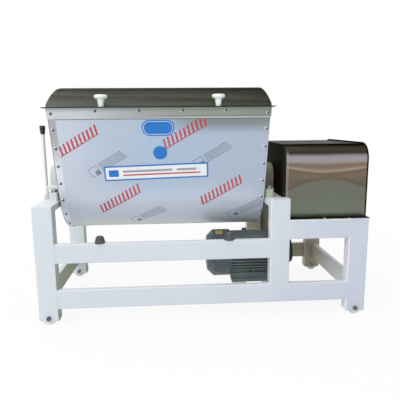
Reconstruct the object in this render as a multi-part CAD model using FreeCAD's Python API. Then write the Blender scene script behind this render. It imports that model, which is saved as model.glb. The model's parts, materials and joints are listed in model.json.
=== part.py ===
import FreeCAD, Part
import math
import os
from FreeCAD import Vector

os.makedirs("parts", exist_ok=True)

# Horizontal-shaft tilting dough mixer. Millimetres, +Z up, +X towards the drive.
# Places are measured from the floor below the frame's front left corner. The last
# step moves every node so that the origin is at the bottom centre of the whole.

# Frame tubes
FRAME_DEPTH = 476.0
LEG_WIDTH = 60.0
LEG_DEPTH = 40.0
RAIL_HEIGHT = 60.0
RAIL_THICKNESS = 20.0
TUBE_WALL = 2.0
TUBE_CORNER = 3.5
LEG_FLOOR_GAP = 13.0
LEFT_LEG_TOP = 370.0
POST_RISE = 8.0
STEP_DROP = 57.0
LOWER_RAIL_BOTTOM = 51.0
UPPER_RAIL_BOTTOM = 195.0
BAY_LENGTH = 653.0
DRIVE_END_ROOM = 43.5
LOWER_CROSS_INSET = 10.0

# Wheels in the open leg ends
WHEEL_RADIUS = 22.0
WHEEL_SIDE_GAP = 2.0
WHEEL_CHAMFER = 2.0
AXLE_RADIUS = 4.0
AXLE_RUN_GAP = 0.05
AXLE_ACROSS = 13.0
HEAD_HEIGHT = 5.0
FIT_GAP = 0.2

# Trunnion bearing blocks
BEARING_RISE = 55.0
BEARING_WALL = 13.0
BEARING_WIDTH = 48.0
BEARING_FOOT_WIDTH = 28.0
BEARING_FOOT_LENGTH = 292.0
BEARING_FOOT_HEIGHT = 28.0
BEARING_FOOT_CORNER = 7.0
BEARING_TROUGH_GAP = 8.0
FOOT_BOLT_INSET = 16.0
FOOT_BOLT_RADIUS = 6.0
FOOT_BOLT_HEAD = 8.0
FOOT_BOLT_ACROSS = 18.6
TRUNNION_WALL = 9.5
TRUNNION_FLANGE_REACH = 18.0
TRUNNION_FLANGE = 6.0
RUN_GAP = 0.05

# Trough
TROUGH_GAP_LEFT = 4.0
TROUGH_GAP_RIGHT = 6.0
TROUGH_RADIUS = 164.0
WALL_LEAN = 16.0
RIM_RISE = 228.0
SHEET = 2.0
END_PLATE = 3.0
END_FLANGE = 26.0
BAND_HEIGHT = 30.0
BAND_SHEET = 2.0
SCREW_HEAD_ACROSS = 9.0
SCREW_HEAD_HEIGHT = 2.6
SCREW_EDGE = 9.5
SCREW_PITCH = 56.0
FIRST_SCREW_DROP = 33.4
SCREWS_PER_SIDE = 8
BAND_SCREWS = 6
BAND_SCREW_DROP = 8.0

# Lid
LID_OVERHANG_ENDS = 12.0
LID_OVERHANG_SIDES = 18.0
LID_FLANGE = 2.0
LID_SKIRT = 7.0
LID_RISE = 70.0
LID_CORNER = 7.5
LID_INSET = 5.0
LID_SEAT_GAP = 0.3
KNOB_RADIUS = 19.0
KNOB_STEM_RADIUS = 10.5
KNOB_FOOT_RADIUS = 8.0
KNOB_NECK = 2.0
KNOB_EDGE = 4.0
KNOB_HEIGHT = 34.0
KNOB_CAP = 13.0
KNOB_LEFT_AT = 155.0
KNOB_SPACING = 333.0
HINGE_REACH = 12.0
HINGE_TOP_GAP = 0.4
HINGE_RADIUS = 6.0
HINGE_PIN_RADIUS = 3.0
HINGE_SEGMENT = 18.0

# Mixing shaft and blades
SHAFT_RADIUS = 17.5
SHAFT_CHAMFER = 1.5
BUSH_WALL = 5.0
BUSH_END_GAP = 4.0
SHAFT_END_GAP = 1.0
BLADES = 6
BLADE_TIP_GAP = 12.0
BLADE_WIDTH = 58.0
BLADE_ROOT_WIDTH = 34.0
BLADE_THICKNESS = 10.0
BLADE_HEAD = 57.0
BLADE_PITCH_ANGLE = 32.0
BLADE_STEP_ANGLE = 120.0
HUB_WALL = 8.5
HUB_LENGTH = 44.0

# Gears and countershaft
MODULE = 2.5
GEAR_TEETH = 80
PINION_TEETH = 16
PRESSURE_ANGLE = 20.0
BACKLASH = 0.25
MESH_GAP = 0.2
GEAR_FACE = 24.0
GEAR_HUB_WALL = 12.5
GEAR_HUB_LENGTH = 40.0
GEAR_WEB = 10.0
GEAR_RIM = 12.0
GEAR_WINDOWS = 6
GEAR_WINDOW_RADIUS = 15.0
ROOT_DEPTH = 1.25
PINION_FACE = 30.0
PINION_HUB_LENGTH = 8.0
COUNTERSHAFT_RADIUS = 12.0
COUNTERSHAFT_ANGLE = -44.0
BLOCK_WIDTH = 26.0
BLOCK_WALL = 12.0
BLOCK_FOOT_HALF = 55.0
BLOCK_FOOT_HEIGHT = 12.0
BLOCK_MEMBER_WIDTH = 30.0
SIDE_GAP = 4.0

# Belt drive
MOTOR_PULLEY_RADIUS = 40.0
PULLEY_COVER_GAP = 14.0
PULLEY_SHAFT_GAP = 7.5
PULLEY_WIDTH = 34.0
PULLEY_RIM = 19.2
PULLEY_WEB = 8.0
PULLEY_HUB_WALL = 12.0
GROOVE_ROOT_GAP = 1.2
GROOVE_PITCH = 16.0
BELT_WIDTH = 12.0
BELT_HEIGHT = 8.0
BELT_SLANT = 2.2
BELT_GAP = 0.4
BELT_PROUD = 1.0

# Motor
MOTOR_AHEAD = 88.0
MOTOR_FLOOR_GAP = 2.0
MOTOR_SEAT_RISE = 43.0
MOTOR_RAIL_WIDTH = 40.0
MOTOR_BODY_RADIUS = 66.0
MOTOR_FIN_HEIGHT = 10.0
TOP_FIN_HEIGHT = 7.0
MOTOR_FIN_WIDTH = 3.6
MOTOR_FIN_STEP = 11.0
MOTOR_FINNED_HALF = 52.0
MOTOR_FLAT_DEPTH = 6.0
LIFT_BOSS_RADIUS = 8.0
LIFT_BOSS_AT = 51.0
MOTOR_BODY_LENGTH = 154.0
MOTOR_SHIELD = 15.0
SHIELD_PROUD = 6.0
SHIELD_RIM = 5.0
SHIELD_SLOPE = 4.0
SHIELD_STEP = 8.0
SHIELD_BOSS_RADIUS = 25.0
MOTOR_SHAFT_RADIUS = 9.5
MOTOR_SHAFT_REACH = 42.0
COWL_PROUD = 2.0
COWL_LENGTH = 76.0
COWL_CHAMFER = 20.0
COWL_SHEET = 1.5
COWL_SLOTS = 12
COWL_SLOT_WIDTH = 7.0
COWL_HUB_RADIUS = 20.0
FAN_VANES = 7
FAN_LENGTH = 34.0
FAN_THICK = 3.0
FAN_HUB_WALL = 6.0
FAN_TIP_GAP = 12.0
FAN_END_GAP = 4.0
MOTOR_FOOT_REACH = 12.0
MOTOR_FOOT_WIDTH = 30.0
MOTOR_FOOT_THICK = 9.0
MOTOR_PAD_INSET = 25.0
MOTOR_PAD_RISE = 47.0
MOTOR_PAD_DEPTH = 13.4
MOTOR_PADS = ((0.0, 0.4), (0.44, 1.0))
MOTOR_HOLE_SPACING = 100.0
MOTOR_HOLE_EDGE = 15.5
MOTOR_BOLT_RADIUS = 4.5
MOTOR_BOLT_ACROSS = 14.4
MOTOR_BOLT_HEAD = 5.8
TERMINAL_LENGTH = 96.0
TERMINAL_WIDTH = 84.0
TERMINAL_HEIGHT = 40.0
TERMINAL_CORNER = 5.0

# Drive cover
COVER_FRONT_GAP = 1.0
COVER_OVERHANG = 5.0
COVER_CORNER = 48.0
COVER_HEADROOM = 12.5
COVER_SHEET = 1.5
COVER_FLANGE = 36.0
COVER_SHAFT_GAP = 5.0
GUARD_PULLEY_GAP = 5.8
COVER_SCREW_SHARE = 0.44
COVER_LIP = 4.0
GUARD_START = 28.0
GUARD_DROP = 65.0

# Lock lever
LEVER_FROM_LEFT = 10.0
LEVER_AHEAD = 98.0
LEVER_PIVOT_RISE = 12.0
LEVER_RADIUS = 5.5
LEVER_TOP_RISE = 231.0
GRIP_LENGTH = 23.0
GRIP_TOP_RADIUS = 8.8
GRIP_END_RADIUS = 7.0
LEVER_PIN_RISE = 27.5
LEVER_PIN_RADIUS = 5.0
LOCK_PLATE_WALL = 8.5
LOCK_HOLE_GAP = 2.5
LOCK_HOLE_DROP = 4.0
LOCK_SEAT_GAP = 0.6
LEVER_EAR = 4.0
LEVER_EYE_RADIUS = 6.5
LEVER_PLATE_HALF = 9.5
LEVER_ROD_RADIUS = 5.5
LEVER_BOLT_RADIUS = 3.0
LEVER_BOLT_ACROSS = 10.4
LEVER_BOLT_HEAD = 4.0
LEVER_PIN_CHAMFER = 1.5
GRIP_CAP = 4.0
GRIP_BEVEL = 3.0
GRIP_CAP_RADIUS = 7.4

# Rubber bumpers
BUMPER_RADIUS = 16.0
BUMPER_TIP_RADIUS = 11.0
BUMPER_HEIGHT = 21.0
BUMPER_LIP = 3.0
BUMPER_LEFT_AT = 134.0
BUMPER_SPACING = 392.0

# Sizes and places worked out from the sizes above
TRUNNION_BORE = SHAFT_RADIUS + BUSH_WALL
TRUNNION_RADIUS = TRUNNION_BORE + TRUNNION_WALL
TRUNNION_FLANGE_RADIUS = TRUNNION_RADIUS + TRUNNION_FLANGE_REACH
BEARING_RADIUS = TRUNNION_RADIUS + BEARING_WALL
HUB_RADIUS = SHAFT_RADIUS + HUB_WALL
GEAR_HUB_RADIUS = SHAFT_RADIUS + GEAR_HUB_WALL
BLOCK_RADIUS = COUNTERSHAFT_RADIUS + BLOCK_WALL
PULLEY_HUB_RADIUS = COUNTERSHAFT_RADIUS + PULLEY_HUB_WALL
BLADE_REACH = TROUGH_RADIUS - SHEET - BLADE_TIP_GAP
LOCK_HOLE_RADIUS = LEVER_PIN_RADIUS + LOCK_HOLE_GAP
LOCK_PLATE_RADIUS = LOCK_HOLE_RADIUS + LOCK_PLATE_WALL
MOTOR_FIN_RADIUS = MOTOR_BODY_RADIUS + MOTOR_FIN_HEIGHT
TOP_FIN_RADIUS = MOTOR_BODY_RADIUS + TOP_FIN_HEIGHT
COWL_RADIUS = MOTOR_FIN_RADIUS + COWL_PROUD
MOTOR_FOOT_HALF = MOTOR_BODY_RADIUS + MOTOR_FOOT_REACH
MOTOR_HOLE_HALF = MOTOR_FOOT_HALF - MOTOR_HOLE_EDGE
MOTOR_SEAT = LOWER_RAIL_BOTTOM + MOTOR_SEAT_RISE
STEP_TOP = LEFT_LEG_TOP - STEP_DROP
MID_POST_LEFT = LEG_WIDTH + BAY_LENGTH
MID_POST_RIGHT = MID_POST_LEFT + LEG_WIDTH
REAR_LEG_FRONT = FRAME_DEPTH - LEG_DEPTH
REAR_RAIL_FRONT = FRAME_DEPTH - RAIL_THICKNESS
AXIS_Y = FRAME_DEPTH / 2
AXIS_Z = LEFT_LEG_TOP + BEARING_RISE
TROUGH_LEFT = LEG_WIDTH + TROUGH_GAP_LEFT
TROUGH_RIGHT = MID_POST_LEFT - TROUGH_GAP_RIGHT
RIM_TOP = AXIS_Z + RIM_RISE
LEAN = math.radians(WALL_LEAN)
RIM_HALF = (TROUGH_RADIUS + BAND_SHEET) / math.cos(LEAN) + RIM_RISE * math.tan(LEAN)
LEFT_BLOCK_RIGHT = TROUGH_LEFT - BEARING_TROUGH_GAP
LEFT_BLOCK_LEFT = LEFT_BLOCK_RIGHT - BEARING_WIDTH
RIGHT_BLOCK_LEFT = TROUGH_RIGHT + BEARING_TROUGH_GAP
RIGHT_BLOCK_RIGHT = RIGHT_BLOCK_LEFT + BEARING_WIDTH
LID_BOTTOM = RIM_TOP + LID_SEAT_GAP
LID_TOP = LID_BOTTOM + LID_FLANGE + LID_RISE
VAULT_FRONT = AXIS_Y - RIM_HALF + LID_INSET
LID_HALF = RIM_HALF + LID_OVERHANG_SIDES
COVER_LEFT = RIGHT_BLOCK_RIGHT + SIDE_GAP
COVER_FRONT = LEG_DEPTH + COVER_FRONT_GAP
COVER_REAR = FRAME_DEPTH - COVER_FRONT
GEAR_PITCH_RADIUS = MODULE * GEAR_TEETH / 2
PINION_PITCH_RADIUS = MODULE * PINION_TEETH / 2
COVER_TOP = AXIS_Z + GEAR_PITCH_RADIUS + MODULE + COVER_HEADROOM
MESH_DISTANCE = GEAR_PITCH_RADIUS + PINION_PITCH_RADIUS + MESH_GAP
COUNTER_Y = AXIS_Y + MESH_DISTANCE * math.cos(math.radians(COUNTERSHAFT_ANGLE))
COUNTER_Z = AXIS_Z + MESH_DISTANCE * math.sin(math.radians(COUNTERSHAFT_ANGLE))
PULLEY_ROOM_REAR = COVER_REAR - COVER_SHEET - COUNTER_Y - PULLEY_COVER_GAP
PULLEY_ROOM_FRONT = MESH_DISTANCE - SHAFT_RADIUS - PULLEY_SHAFT_GAP
DRIVEN_PULLEY_RADIUS = math.floor(min(PULLEY_ROOM_REAR, PULLEY_ROOM_FRONT))
GUARD_LEFT = MID_POST_RIGHT + FIT_GAP
GUARD_RIGHT = GUARD_LEFT + COVER_SHEET
PULLEY_LEFT = GUARD_RIGHT + GUARD_PULLEY_GAP
PULLEY_RIGHT = PULLEY_LEFT + PULLEY_WIDTH
BLOCK_ONE_LEFT = PULLEY_RIGHT + SIDE_GAP
PINION_LEFT = BLOCK_ONE_LEFT + BLOCK_WIDTH + SIDE_GAP
PINION_RIGHT = PINION_LEFT + PINION_FACE
GEAR_LEFT = PINION_LEFT + (PINION_FACE - GEAR_FACE) / 2
GEAR_RIGHT = GEAR_LEFT + GEAR_FACE
BLOCK_TWO_LEFT = PINION_RIGHT + PINION_HUB_LENGTH + SIDE_GAP
BLOCK_TWO_RIGHT = BLOCK_TWO_LEFT + BLOCK_WIDTH
RIGHT_LEG_LEFT = BLOCK_TWO_RIGHT + DRIVE_END_ROOM
FRAME_LENGTH = RIGHT_LEG_LEFT + LEG_WIDTH
COVER_RIGHT = FRAME_LENGTH + COVER_OVERHANG
COUNTER_LEFT = PULLEY_LEFT - SIDE_GAP
COUNTER_RIGHT = BLOCK_TWO_RIGHT + SIDE_GAP
OUTBOARD_LEFT = RIGHT_LEG_LEFT + (LEG_WIDTH - BEARING_WIDTH) / 2
OUTBOARD_RIGHT = OUTBOARD_LEFT + BEARING_WIDTH
SHAFT_LEFT = LEFT_BLOCK_LEFT + BUSH_END_GAP
SHAFT_RIGHT = OUTBOARD_RIGHT + BUSH_END_GAP
MOTOR_Y = AXIS_Y - MOTOR_AHEAD
MOTOR_Z = MOTOR_SEAT + COWL_RADIUS + MOTOR_FLOOR_GAP
MOTOR_FLAT_Y = MOTOR_Y + MOTOR_BODY_RADIUS - MOTOR_FLAT_DEPTH
MOTOR_SHAFT_END = PULLEY_RIGHT
SHIELD_RIGHT = MOTOR_SHAFT_END - MOTOR_SHAFT_REACH
SHIELD_LEFT = SHIELD_RIGHT - MOTOR_SHIELD
BODY_LEFT = SHIELD_LEFT - MOTOR_BODY_LENGTH
COWL_LEFT = BODY_LEFT - COWL_LENGTH
HINGE_Y = AXIS_Y + RIM_HALF + HINGE_REACH
HINGE_Z = LID_BOTTOM - HINGE_RADIUS - HINGE_TOP_GAP
LEVER_Y = AXIS_Y - LEVER_AHEAD
LEVER_PIVOT_Z = LEFT_LEG_TOP + LEVER_PIVOT_RISE
LEVER_PIN_Z = LEVER_PIVOT_Z + LEVER_PIN_RISE
LOCK_PLATE_LEFT = TROUGH_LEFT - END_PLATE


def box(x0, x1, y0, y1, z0, z1):
    """Block between two corners."""
    return Part.makeBox(x1 - x0, y1 - y0, z1 - z0, Vector(x0, y0, z0))


def rod_x(radius, x0, x1, y, z):
    """Round bar along X."""
    return Part.makeCylinder(radius, x1 - x0, Vector(x0, y, z), Vector(1, 0, 0))


def rod_y(radius, y0, y1, x, z):
    """Round bar along Y."""
    return Part.makeCylinder(radius, y1 - y0, Vector(x, y0, z), Vector(0, 1, 0))


def rod_z(radius, z0, z1, x, y):
    """Round bar along Z."""
    return Part.makeCylinder(radius, z1 - z0, Vector(x, y, z0), Vector(0, 0, 1))


def fuse(shapes):
    """One solid from several that touch or overlap."""
    first = shapes[0]
    return first.multiFuse(shapes[1:]).removeSplitter()


def along(edge, direction):
    """True when a straight edge runs along the direction."""
    ends = edge.Vertexes
    if len(ends) != 2:
        return False
    span = ends[1].Point - ends[0].Point
    return span.Length > 1e-6 and abs(abs(span.normalize().dot(direction)) - 1) < 1e-6


def tube(corners, direction, capped=False):
    """Rectangular tube with rounded corners, hollow along the direction."""
    x0, x1, y0, y1, z0, z1 = corners
    outer = box(*corners)
    edges = [edge for edge in outer.Edges if along(edge, direction)]
    outer = outer.makeFillet(TUBE_CORNER, edges)
    if direction.x:
        inner = box(x0, x1, y0 + TUBE_WALL, y1 - TUBE_WALL, z0 + TUBE_WALL, z1 - TUBE_WALL)
    elif direction.y:
        inner = box(x0 + TUBE_WALL, x1 - TUBE_WALL, y0, y1, z0 + TUBE_WALL, z1 - TUBE_WALL)
    else:
        top = z1 - TUBE_WALL if capped else z1
        inner = box(x0 + TUBE_WALL, x1 - TUBE_WALL, y0 + TUBE_WALL, y1 - TUBE_WALL, z0, top)
    return outer.cut(inner)


def turned_x(points, y, z):
    """Solid of revolution about an X axis from (x, radius) points."""
    outline = [Vector(x, y, z + radius) for x, radius in points]
    face = Part.Face(Part.makePolygon(outline + outline[:1]))
    return face.revolve(Vector(0, y, z), Vector(1, 0, 0), 360)


def turned_z(points, x, y):
    """Solid of revolution about a Z axis from (radius, z) points."""
    outline = [Vector(x + radius, y, z) for radius, z in points]
    face = Part.Face(Part.makePolygon(outline + outline[:1]))
    return face.revolve(Vector(x, y, 0), Vector(0, 0, 1), 360)


def hex_head(across, height, place, direction):
    """Hexagonal bolt head standing on its seat, its axis square to X."""
    corner = across / math.sqrt(3)
    axis = Vector(*direction)
    side = Vector(1, 0, 0)
    other = axis.cross(side)
    seat = Vector(*place)
    ring = []
    for step in range(6):
        turn = math.radians(60 * step)
        ring.append(seat + side * (corner * math.cos(turn)) + other * (corner * math.sin(turn)))
    return Part.Face(Part.makePolygon(ring + ring[:1])).extrude(axis * height)


# Frame

ALONG_X = Vector(1, 0, 0)
ALONG_Y = Vector(0, 1, 0)
ALONG_Z = Vector(0, 0, 1)


def leg(x0, y0, top):
    """Corner leg, open at the bottom for its wheel, with the axle hole through it."""
    shape = tube((x0, x0 + LEG_WIDTH, y0, y0 + LEG_DEPTH, LEG_FLOOR_GAP, top), ALONG_Z, True)
    hole = rod_y(AXLE_RADIUS + FIT_GAP, y0 - 1, y0 + LEG_DEPTH + 1, x0 + LEG_WIDTH / 2, WHEEL_RADIUS)
    return shape.cut(hole)


def mid_post(y0):
    """Post that stands on the lower rail beside the trough."""
    bottom = LOWER_RAIL_BOTTOM + RAIL_HEIGHT
    corners = (MID_POST_LEFT, MID_POST_RIGHT, y0, y0 + LEG_DEPTH, bottom, LEFT_LEG_TOP + POST_RISE)
    return tube(corners, ALONG_Z, True)


def long_rail(x0, x1, y0, z0):
    """Rail along X, standing on edge."""
    return tube((x0, x1, y0, y0 + RAIL_THICKNESS, z0, z0 + RAIL_HEIGHT), ALONG_X)


def flat_member(x0, width, top, y0, y1):
    """Tube along Y, lying flat."""
    return tube((x0, x0 + width, y0, y1, top - RAIL_THICKNESS, top), ALONG_Y)


def lower_cross_rail(x0):
    """Tube along Y between a front and a rear leg, standing on edge."""
    z0 = LOWER_RAIL_BOTTOM
    corners = (x0, x0 + RAIL_THICKNESS, LEG_DEPTH, REAR_LEG_FRONT, z0, z0 + RAIL_HEIGHT)
    return tube(corners, ALONG_Y)


def foot_bolt_places():
    """Y of the two bolts of a trunnion block."""
    reach = BEARING_FOOT_LENGTH / 2 - FOOT_BOLT_INSET
    return (AXIS_Y - reach, AXIS_Y + reach)


def top_member(x0, bolt_x):
    """Flat member that carries a trunnion block, drilled for the block's bolts."""
    shape = flat_member(x0, LEG_WIDTH, LEFT_LEG_TOP, LEG_DEPTH, REAR_LEG_FRONT)
    for y in foot_bolt_places():
        hole = rod_z(FOOT_BOLT_RADIUS + FIT_GAP, LEFT_LEG_TOP - TUBE_WALL - 1, LEFT_LEG_TOP + 1, bolt_x, y)
        shape = shape.cut(hole)
    return shape


LEFT_FOOT_X = LEFT_BLOCK_RIGHT - BEARING_FOOT_WIDTH / 2
RIGHT_FOOT_X = RIGHT_BLOCK_LEFT + BEARING_FOOT_WIDTH / 2


def motor_hole_places():
    """X and Y of the four motor foot bolts."""
    middle = (BODY_LEFT + SHIELD_LEFT) / 2
    places = []
    for side in (-1, 1):
        for end in (-1, 1):
            x = middle + side * MOTOR_HOLE_SPACING / 2
            places.append((x, MOTOR_Y + end * MOTOR_HOLE_HALF))
    return places


def motor_rails():
    """Two flat tubes under the motor's feet, drilled for its bolts."""
    rails = []
    for x, _ in motor_hole_places()[::2]:
        rail = flat_member(x - MOTOR_RAIL_WIDTH / 2, MOTOR_RAIL_WIDTH, MOTOR_SEAT, RAIL_THICKNESS,
                           REAR_RAIL_FRONT)
        for hole_x, hole_y in motor_hole_places():
            hole = rod_z(MOTOR_BOLT_RADIUS + FIT_GAP, MOTOR_SEAT - TUBE_WALL - 1, MOTOR_SEAT + 1,
                         hole_x, hole_y)
            rail = rail.cut(hole)
        rails.append(rail)
    return rails


def block_members():
    """Two flat tubes between the step rails that carry the countershaft blocks."""
    members = []
    for x0 in (BLOCK_ONE_LEFT, BLOCK_TWO_LEFT):
        members.append(flat_member(x0, BLOCK_MEMBER_WIDTH, STEP_TOP, RAIL_THICKNESS, REAR_RAIL_FRONT))
    return members


def bumpers():
    """Two tapered rubber bumpers on the front upper rail."""
    seat = UPPER_RAIL_BOTTOM + RAIL_HEIGHT
    points = [(0, seat), (BUMPER_RADIUS, seat), (BUMPER_RADIUS, seat + BUMPER_LIP),
              (BUMPER_TIP_RADIUS, seat + BUMPER_HEIGHT), (0, seat + BUMPER_HEIGHT)]
    first = LEG_WIDTH + BUMPER_LEFT_AT
    return [turned_z(points, x, RAIL_THICKNESS / 2) for x in (first, first + BUMPER_SPACING)]


# Trunnion blocks

def trunnion_block(x0, foot_x0):
    """Round-topped bearing block with a long foot."""
    x1 = x0 + BEARING_WIDTH
    body = rod_x(BEARING_RADIUS, x0, x1, AXIS_Y, AXIS_Z)
    base = box(x0, x1, AXIS_Y - BEARING_RADIUS, AXIS_Y + BEARING_RADIUS, LEFT_LEG_TOP, AXIS_Z)
    half = BEARING_FOOT_LENGTH / 2
    foot = box(foot_x0, foot_x0 + BEARING_FOOT_WIDTH, AXIS_Y - half, AXIS_Y + half,
               LEFT_LEG_TOP, LEFT_LEG_TOP + BEARING_FOOT_HEIGHT)
    ends = [edge for edge in foot.Edges if along(edge, ALONG_Z)]
    foot = foot.makeFillet(BEARING_FOOT_CORNER, ends)
    shape = fuse([body, base, foot])
    shape = shape.cut(rod_x(TRUNNION_RADIUS + RUN_GAP, x0 - 1, x1 + 1, AXIS_Y, AXIS_Z))
    top = LEFT_LEG_TOP + BEARING_FOOT_HEIGHT
    for y in foot_bolt_places():
        hole = rod_z(FOOT_BOLT_RADIUS + FIT_GAP, LEFT_LEG_TOP - 1, top + 1,
                     foot_x0 + BEARING_FOOT_WIDTH / 2, y)
        shape = shape.cut(hole)
    return shape


def foot_bolts():
    """Hexagon bolts of both trunnion blocks."""
    top = LEFT_LEG_TOP + BEARING_FOOT_HEIGHT
    bolts = []
    for x in (LEFT_FOOT_X, RIGHT_FOOT_X):
        for y in foot_bolt_places():
            head = hex_head(FOOT_BOLT_ACROSS, FOOT_BOLT_HEAD, (x, y, top), (0, 0, 1))
            shank = rod_z(FOOT_BOLT_RADIUS, LEFT_LEG_TOP - RAIL_THICKNESS / 2, top, x, y)
            bolts.append(fuse([head, shank]))
    return bolts


# Wheels

def wheel_centre(x0, y0):
    """Centre of the wheel under the leg at this corner."""
    return (x0 + LEG_WIDTH / 2, y0 + LEG_DEPTH / 2)


def wheel(x0, y0):
    """Plain roller wheel with chamfered edges."""
    x, y = wheel_centre(x0, y0)
    half = LEG_DEPTH / 2 - TUBE_WALL - WHEEL_SIDE_GAP
    wheel_body = rod_y(WHEEL_RADIUS, y - half, y + half, x, WHEEL_RADIUS)
    rims = [edge for edge in wheel_body.Edges if abs(edge.Length - 2 * math.pi * WHEEL_RADIUS) < 0.1]
    wheel_body = wheel_body.makeChamfer(WHEEL_CHAMFER, rims)
    return wheel_body.cut(rod_y(AXLE_RADIUS + AXLE_RUN_GAP, y - LEG_DEPTH, y + LEG_DEPTH, x, WHEEL_RADIUS))


def axle_bolts():
    """Axle bolt of each wheel: a head in front and a nut behind."""
    bolts = []
    for x0, y0 in CORNERS:
        x = x0 + LEG_WIDTH / 2
        shank = rod_y(AXLE_RADIUS, y0, y0 + LEG_DEPTH, x, WHEEL_RADIUS)
        head = hex_head(AXLE_ACROSS, HEAD_HEIGHT, (x, y0, WHEEL_RADIUS), (0, -1, 0))
        nut = hex_head(AXLE_ACROSS, HEAD_HEIGHT, (x, y0 + LEG_DEPTH, WHEEL_RADIUS), (0, 1, 0))
        bolts.append(fuse([shank, head, nut]))
    return bolts


CORNERS = ((0.0, 0.0), (0.0, REAR_LEG_FRONT), (RIGHT_LEG_LEFT, 0.0), (RIGHT_LEG_LEFT, REAR_LEG_FRONT))


# Trough

def wall_y(radius, z):
    """Y of the front wall of the trough at this height, for an outline of this radius."""
    return AXIS_Y - radius / math.cos(LEAN) - (z - AXIS_Z) * math.tan(LEAN)


def trough_section(radius, top, x):
    """Closed outline: leaning walls that run into a round bottom."""
    drop = radius * math.sin(LEAN)
    reach = radius * math.cos(LEAN)
    front_low = Vector(x, AXIS_Y - reach, AXIS_Z - drop)
    rear_low = Vector(x, AXIS_Y + reach, AXIS_Z - drop)
    bottom = Vector(x, AXIS_Y, AXIS_Z - radius)
    front_top = Vector(x, wall_y(radius, top), top)
    rear_top = Vector(x, 2 * AXIS_Y - wall_y(radius, top), top)
    edges = [
        Part.makeLine(front_top, front_low),
        Part.Arc(front_low, bottom, rear_low).toShape(),
        Part.makeLine(rear_low, rear_top),
        Part.makeLine(rear_top, front_top),
    ]
    return Part.Face(Part.Wire(edges))


def trough_block(radius, top, x0, x1):
    """The outline extruded between two X values."""
    return trough_section(radius, top, x0).extrude(Vector(x1 - x0, 0, 0))


def trough_shell():
    """Bent sheet of the trough, open at the top and at both ends."""
    outer = trough_block(TROUGH_RADIUS, RIM_TOP, TROUGH_LEFT, TROUGH_RIGHT)
    inner = trough_block(TROUGH_RADIUS - SHEET, RIM_TOP, TROUGH_LEFT, TROUGH_RIGHT)
    return outer.cut(inner)


def end_plate(x_outer, inward):
    """Dished end plate: its flange lies against the inside of the sheet."""
    x_web = x_outer + inward * END_PLATE
    x_flange = x_outer + inward * END_FLANGE
    radius = TROUGH_RADIUS - SHEET
    pan = trough_block(radius, RIM_TOP, min(x_outer, x_flange), max(x_outer, x_flange))
    room = trough_block(radius - END_PLATE, RIM_TOP, min(x_web, x_flange), max(x_web, x_flange))
    hole = rod_x(TRUNNION_BORE, x_outer - END_FLANGE, x_outer + END_FLANGE, AXIS_Y, AXIS_Z)
    return pan.cut(room).cut(hole)


def rim_band():
    """Flat band folded round the top of the trough."""
    low = RIM_TOP - BAND_HEIGHT
    outer = trough_block(TROUGH_RADIUS + BAND_SHEET, RIM_TOP, TROUGH_LEFT - BAND_SHEET,
                         TROUGH_RIGHT + BAND_SHEET)
    inner = trough_block(TROUGH_RADIUS, RIM_TOP, TROUGH_LEFT, TROUGH_RIGHT)
    slab = box(0, FRAME_LENGTH, AXIS_Y - LID_HALF, AXIS_Y + LID_HALF, low, RIM_TOP)
    return outer.cut(inner).common(slab)


def screw(place, outward):
    """Plain head of a sheet-metal screw on its seat."""
    return hex_head(SCREW_HEAD_ACROSS, SCREW_HEAD_HEIGHT, place, outward)


def side_screw_places():
    """Places and outward directions of the screws down one side of the section."""
    low_z = AXIS_Z - TROUGH_RADIUS * math.sin(LEAN)
    wall_length = (RIM_TOP - BAND_HEIGHT - low_z) / math.cos(LEAN)
    places = []
    for index in range(SCREWS_PER_SIDE):
        run = FIRST_SCREW_DROP + SCREW_PITCH * index
        if run <= wall_length:
            z = RIM_TOP - BAND_HEIGHT - run * math.cos(LEAN)
            places.append((wall_y(TROUGH_RADIUS, z), z, -math.cos(LEAN), -math.sin(LEAN)))
        else:
            turn = math.pi + LEAN + (run - wall_length) / TROUGH_RADIUS
            out_y = math.cos(turn)
            out_z = math.sin(turn)
            places.append((AXIS_Y + TROUGH_RADIUS * out_y, AXIS_Z + TROUGH_RADIUS * out_z, out_y, out_z))
    return places


def band_screw_xs():
    """X of the screws along the rim band."""
    first = TROUGH_LEFT + SCREW_EDGE
    last = TROUGH_RIGHT - SCREW_EDGE
    return [first + (last - first) * index / (BAND_SCREWS - 1) for index in range(BAND_SCREWS)]


def trough_screws():
    """Screws along both end strips and round the rim band, front and rear."""
    screws = []
    for y, z, out_y, out_z in side_screw_places():
        for x in (TROUGH_LEFT + SCREW_EDGE, TROUGH_RIGHT - SCREW_EDGE):
            screws.append(screw((x, y, z), (0, out_y, out_z)))
            screws.append(screw((x, 2 * AXIS_Y - y, z), (0, -out_y, out_z)))
    xs = band_screw_xs()
    for x in xs:
        drop = BAND_HEIGHT / 2 if x in (xs[0], xs[-1]) else BAND_SCREW_DROP
        z = RIM_TOP - drop
        y = wall_y(TROUGH_RADIUS + BAND_SHEET, z)
        screws.append(screw((x, y, z), (0, -math.cos(LEAN), -math.sin(LEAN))))
        screws.append(screw((x, 2 * AXIS_Y - y, z), (0, math.cos(LEAN), -math.sin(LEAN))))
    return screws


def trunnion(x_plate, outward):
    """Hollow flanged stub on an end plate, turning in its block."""
    x_flange = x_plate + outward * TRUNNION_FLANGE
    x_end = x_plate + outward * (BEARING_TROUGH_GAP + BEARING_WIDTH)
    points = [(x_plate, TRUNNION_BORE), (x_plate, TRUNNION_FLANGE_RADIUS),
              (x_flange, TRUNNION_FLANGE_RADIUS), (x_flange, TRUNNION_RADIUS),
              (x_end, TRUNNION_RADIUS), (x_end, TRUNNION_BORE)]
    return turned_x(points, AXIS_Y, AXIS_Z)


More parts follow.
